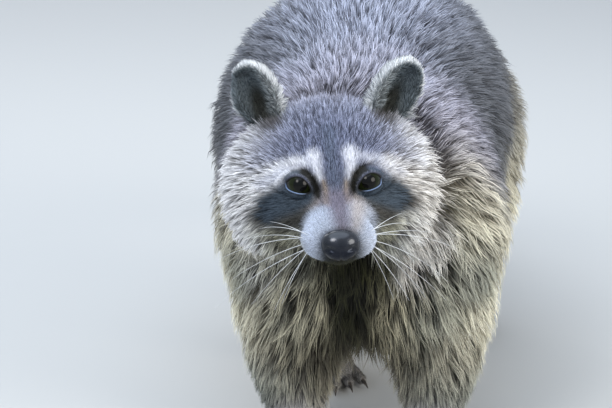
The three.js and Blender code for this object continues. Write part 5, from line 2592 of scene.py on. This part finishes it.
# ---- Claws and whiskers ----
@dataclass
class GrowthTree:
    """A geometry tree that grows a mesh on points or lines, with its sizes and its finish as named inputs."""

    name: str
    sizes: dict[str, float]
    tree: Tree = field(init=False)
    given: bpy.types.NodeOutputs = field(init=False)

    def __post_init__(self) -> None:
        """Starts the tree, with its inputs and its output."""
        self.tree = bpy.data.node_groups.new(self.name, "GeometryNodeTree")
        self.tree.interface.new_socket("Geometry", in_out="INPUT", socket_type="NodeSocketGeometry")
        for size in self.sizes:
            self.tree.interface.new_socket(size, in_out="INPUT", socket_type="NodeSocketFloat")
        self.tree.interface.new_socket("Finish", in_out="INPUT", socket_type="NodeSocketMaterial")
        self.tree.interface.new_socket("Geometry", in_out="OUTPUT", socket_type="NodeSocketGeometry")
        self.given = self.tree.nodes.new("NodeGroupInput").outputs

    def add(self, kind: str, **settings: object) -> Node:
        """A new node of the tree, with its settings."""
        return node(self.tree, kind, **settings)

    def tube(self, curve: Node, radius: Node, sides: int) -> Node:
        """Sweeps a round profile of changing radius along curves, its ends closed.

        Args:
            curve: the node that gives the curves.
            radius: the node that gives the radius at each of their points.
            sides: how many sides the profile has.

        Returns:
            The node that gives the swept mesh.
        """
        ring = self.add("GeometryNodeCurvePrimitiveCircle", in_Resolution=sides, in_Radius=1.0)
        swept = self.add("GeometryNodeCurveToMesh", in_Curve=curve, in_Profile_Curve=ring, in_Fill_Caps=True)
        feed(swept, Scale=radius)
        return swept

    def end(self, made: Node) -> None:
        """Ends the tree: shaded smooth, instances made real, and given the finish.

        Args:
            made: the node that gives the geometry.
        """
        smooth = self.add("GeometryNodeSetShadeSmooth", in_Geometry=made)
        real = self.add("GeometryNodeRealizeInstances", in_Geometry=smooth)
        dressed = self.add("GeometryNodeSetMaterial", in_Geometry=real, in_Material=self.given["Finish"])
        self.add("NodeGroupOutput", in_Geometry=dressed)

    def grow(self, seed: Piece, finish: Finish) -> Piece:
        """Runs the tree on a seed mesh and keeps the plain mesh that it makes.

        Args:
            seed: the piece that carries the points or lines.
            finish: the finish of the result.

        Returns:
            The same piece, with the new mesh and no modifier.
        """
        modifier = seed.modifiers.new(self.name, "NODES")
        modifier.node_group = self.tree
        values = {name: size * MM for name, size in self.sizes.items()} | {"Finish": finish.material()}
        for item in self.tree.interface.items_tree:
            if item.in_out == "INPUT" and item.name in values:
                modifier[item.identifier] = values[item.name]
        seed.update_tag()
        shown = seed.evaluated_get(bpy.context.evaluated_depsgraph_get())
        made = bpy.data.meshes.new_from_object(shown)
        made.name = seed.name
        seed.modifiers.remove(modifier)
        seed.data = made
        return seed


def seed_piece(name: str, points: Array, edges: list[list[int]], title: str, values: Array) -> Piece:
    """A piece of bare points or lines to grow a mesh on.

    Args:
        name: the piece's name.
        points: its points in millimetres, n by 3.
        edges: pairs of points that are joined.
        title: the name of its attribute.
        values: the attribute's number or direction at each point.

    Returns:
        The new object, in the scene.
    """
    mesh = bpy.data.meshes.new(name)
    mesh.from_pydata((points * MM).tolist(), edges, [])
    kind, key = ("FLOAT", "value") if values.ndim == 1 else ("FLOAT_VECTOR", "vector")
    mesh.attributes.new(title, kind, "POINT").data.foreach_set(key, values.astype(np.float32).ravel())
    made = bpy.data.objects.new(name, mesh)
    bpy.context.scene.collection.objects.link(made)
    return made


@dataclass
class Whiskers:
    """Long pale whiskers fanning out from each side of the muzzle."""

    skin: Skin
    many: int = 9
    joints: int = 12
    sides: int = 6
    top: float = 32.0
    sweep: float = 92.0
    lengths: tuple[float, ...] = (32, 38, 50, 66, 60, 68, 54, 48, 40)
    root_radius: float = 0.24
    tip_radius: float = 0.06
    finish: Finish = HornFinish("whisker", (196, 198, 200), (238, 240, 242), 0.45)

    def lines(self) -> tuple[Array, Array]:
        """The whiskers' lines, and how far along its whisker each point is.

        Returns:
            The lines, whiskers by joints by 3, and the shares.
        """
        rng = np.random.default_rng(7)
        head = self.skin.marks.head
        t = np.linspace(0, 1, self.joints)
        found = []
        for side in (1, -1):
            for k in range(self.many):
                u = k / (self.many - 1)
                root = np.array([side * 20.0, -44 + 9 * ((k * 0.618) % 1), -20 - 13 * u])
                for _ in range(6):
                    place = head.out(root[None])
                    out = self.skin.closed.sample(place)
                    root = root - head.back(head.origin + self.skin.closed.slopes(place) * out[:, None])[0]
                angle = math.radians(self.top - self.sweep * u + rng.normal(0, 4))
                ahead = 0.34 - 0.36 * u + rng.normal(0, 0.08)
                direction = unit(np.array([side * math.cos(angle), ahead, math.sin(angle)]))
                length = self.lengths[k] * rng.uniform(0.9, 1.12)
                sag = 0.30 + 0.12 * rng.random() - 0.14 * u
                line = root - direction * 1.5 + direction * (length * t)[:, None]
                line[:, 2] -= sag * length * t**2
                line[:, 1] += 0.22 * length * t**2
                line[:, 0] -= side * 0.08 * length * t**2
                found.append(head.out(line))
        return np.array(found), np.tile(t, (len(found), 1))

    def build(self) -> Piece:
        """Makes the whiskers.

        Returns:
            The whiskers.
        """
        lines, share = self.lines()
        start = np.arange(len(lines) * self.joints).reshape(len(lines), -1)
        edges = np.stack([start[:, :-1], start[:, 1:]], axis=-1).reshape(-1, 2)
        seed = seed_piece("whiskers", lines.reshape(-1, 3), edges.tolist(), "share", share.ravel())
        tree = GrowthTree("whisker tubes", {"Root radius": self.root_radius, "Tip radius": self.tip_radius})
        curves = tree.add("GeometryNodeMeshToCurve", in_Mesh=tree.given["Geometry"])
        along = tree.add("GeometryNodeInputNamedAttribute", data_type="FLOAT", in_Name="share")
        root, tip = tree.given["Root radius"], tree.given["Tip radius"]
        radius = tree.add("ShaderNodeMapRange", in_Value=along, in_To_Min=root, in_To_Max=tip)
        tree.end(tree.tube(curves, radius, self.sides))
        made = tree.grow(seed, self.finish)
        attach(made, "root")
        return made


@dataclass
class Claws:
    """A curved claw at the end of each toe."""

    marks: Landmarks
    length: float = 13.0
    drop: float = 3.4
    radius: float = 2.0
    height: float = 5.0
    forward: float = 1.0
    sides: int = 10
    joints: int = 9
    bow: float = 0.6
    taper: tuple[float, float] = (1.06, 0.75)
    finish: Finish = HornFinish("claw horn", (34, 29, 27), (92, 82, 74), 0.35, 260.0)

    def build(self) -> Piece:
        """Makes all the claws as one piece.

        Returns:
            The claws.
        """
        roots, aims = [], []
        for paw in PAWS:
            at, axes = paw.place(self.marks)
            for start, end in paw.toes():
                ahead = unit(np.array([end[0] - start[0], end[1] - start[1], 0.0]))
                tip = at + np.array([end[0], end[1], self.height]) @ axes
                roots.append(tip + (ahead * self.forward) @ axes)
                aims.append(ahead @ axes)
        seed = seed_piece("claws", np.array(roots), [], "aim", np.array(aims))
        tree = GrowthTree("claw horns", {"Length": self.length, "Drop": self.drop, "Radius": self.radius})
        lower = tree.add("ShaderNodeMath", operation="MULTIPLY", in_0=tree.given["Drop"], in_1=-1.0)
        half = tree.add("ShaderNodeMath", operation="MULTIPLY", in_0=tree.given["Length"], in_1=self.bow)
        middle = tree.add("ShaderNodeCombineXYZ", in_X=half)
        end = tree.add("ShaderNodeCombineXYZ", in_X=tree.given["Length"], in_Z=lower)
        curve = tree.add(
            "GeometryNodeCurveQuadraticBezier",
            in_Resolution=self.joints,
            in_Start=(0.0, 0.0, 0.0),
            in_Middle=middle,
            in_End=end,
        )
        along = tree.add("GeometryNodeSplineParameter")
        thinner = tree.add("ShaderNodeMath", operation="SUBTRACT", in_0=self.taper[0], in_1=along)
        eased = tree.add("ShaderNodeMath", operation="POWER", in_0=thinner, in_1=self.taper[1])
        radius = tree.add("ShaderNodeMath", operation="MULTIPLY", in_0=eased, in_1=tree.given["Radius"])
        aim = tree.add("GeometryNodeInputNamedAttribute", data_type="FLOAT_VECTOR", in_Name="aim")
        turn = tree.add("FunctionNodeAlignRotationToVector", axis="X", pivot_axis="Z", in_Vector=aim)
        placed = tree.add(
            "GeometryNodeInstanceOnPoints",
            in_Points=tree.given["Geometry"],
            in_Instance=tree.tube(curve, radius, self.sides),
            in_Rotation=turn,
        )
        tree.end(placed)
        made = tree.grow(seed, self.finish)
        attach(made, "root")
        return made


# ---- Studio ----
@dataclass(frozen=True)
class Lamp:
    """A soft round lamp."""

    name: str
    at: Triple
    power: float
    size: float
    colour: Triple
    spread: float = 180.0

    def hang(self, target: Vector) -> None:
        """Puts the lamp into the scene.

        Args:
            target: the place that it is aimed at, in metres.
        """
        data = bpy.data.lights.new(self.name, "AREA")
        data.energy, data.size, data.color = self.power, self.size, self.colour
        data.shape, data.spread = "DISK", math.radians(self.spread)
        made = bpy.data.objects.new(self.name, data)
        made.location = self.at
        made.rotation_euler = (Vector(self.at) - target).to_track_quat("Z", "Y").to_euler()
        bpy.context.scene.collection.objects.link(made)


@dataclass
class Studio:
    """Pale floor, soft lamps and the camera; all but the floor's size is in metres."""

    head: HeadFrame
    azimuth: float = 3.5
    elevation: float = 15.0
    distance: float = 2.0
    lens: float = 173.0
    sensor: float = 36.0
    aside: float = 0.0187
    below: float = 0.0143
    half_floor: float = 60000.0
    sky: Triple = (0.76, 0.86, 1.0)
    sky_strength: float = 0.82
    lit: Triple = (0.0, -0.15, 0.18)
    lamps: tuple[Lamp, ...] = (
        Lamp("key", (-1.1, -2.3, 2.1), 38.0, 1.2, (1.0, 0.99, 0.97)),
        Lamp("overhead", (-0.3, -0.6, 2.6), 42.0, 3.2, (0.78, 0.88, 1.0)),
        Lamp("side", (2.9, -2.1, 1.25), 36.0, 2.4, (1.0, 0.95, 0.86), 110.0),
        Lamp("back", (-1.5, 2.5, 2.0), 20.0, 2.4, (0.95, 0.97, 1.0), 120.0),
    )

    def build(self) -> None:
        """Sets up the floor, sky, lamps and camera."""
        corners = self.half_floor * np.array([(-1, -1, 0), (1, -1, 0), (1, 1, 0), (-1, 1, 0)])
        floor = make_mesh("floor", corners, [np.array([[0, 1, 2, 3]])], smooth=False)
        floor.data.materials.append(FloorFinish().material())
        world = bpy.data.worlds.new("studio")
        bpy.context.scene.world = world
        world.use_nodes = True
        feed(world.node_tree.nodes["Background"], Color=(*self.sky, 1), Strength=self.sky_strength)
        for lamp in self.lamps:
            lamp.hang(Vector(self.lit))
        self.set_camera()

    def set_camera(self) -> None:
        """Aims the camera at the head from in front and a little above."""
        a, e = math.radians(self.azimuth), math.radians(self.elevation)
        back = Vector((math.sin(a) * math.cos(e), -math.cos(a) * math.cos(e), math.sin(e)))
        right = Vector((math.cos(a), math.sin(a), 0))
        data = bpy.data.cameras.new("camera")
        data.lens, data.sensor_width = self.lens, self.sensor
        camera = bpy.data.objects.new("camera", data)
        middle = Vector(self.head.origin * MM)
        camera.location = middle + back * self.distance - right * self.aside - back.cross(right) * self.below
        camera.rotation_mode = "QUATERNION"
        camera.rotation_quaternion = (-back).to_track_quat("-Z", "Y")
        bpy.context.scene.collection.objects.link(camera)
        bpy.context.scene.camera = camera
        bpy.context.scene.view_settings.view_transform = "Standard"


def main() -> None:
    """Builds the raccoon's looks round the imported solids."""
    logging.basicConfig(level=logging.INFO, format="%(asctime)s %(message)s", force=True)
    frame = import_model()
    marks = Landmarks.read(frame["nodes"])
    plan = CoatPlan(marks)
    markings = Markings(marks, plan)
    skin = Skin(marks, plan, markings)
    skin.build(Flesh(frame["nodes"]))
    body = skin.dress(CoatFinish("skin", roughness=0.7, bump=0.4))
    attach(body, "root")
    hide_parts(*FLESH)
    pieces = [body, *(Eyeball(shape, marks).build() for shape in EYES), Nose(marks).build()]
    pieces += [Whiskers(skin).build(), Claws(marks).build()]
    for piece in Coat(skin, plan, markings).build(CoatFinish("hair")):
        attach(piece, "root")
        pieces.append(piece)
    for piece in pieces:
        log.info("%s: %d faces", piece.name, len(piece.data.polygons))
    Studio(marks.head).build()
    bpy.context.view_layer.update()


if __name__ == "__main__":
    main()
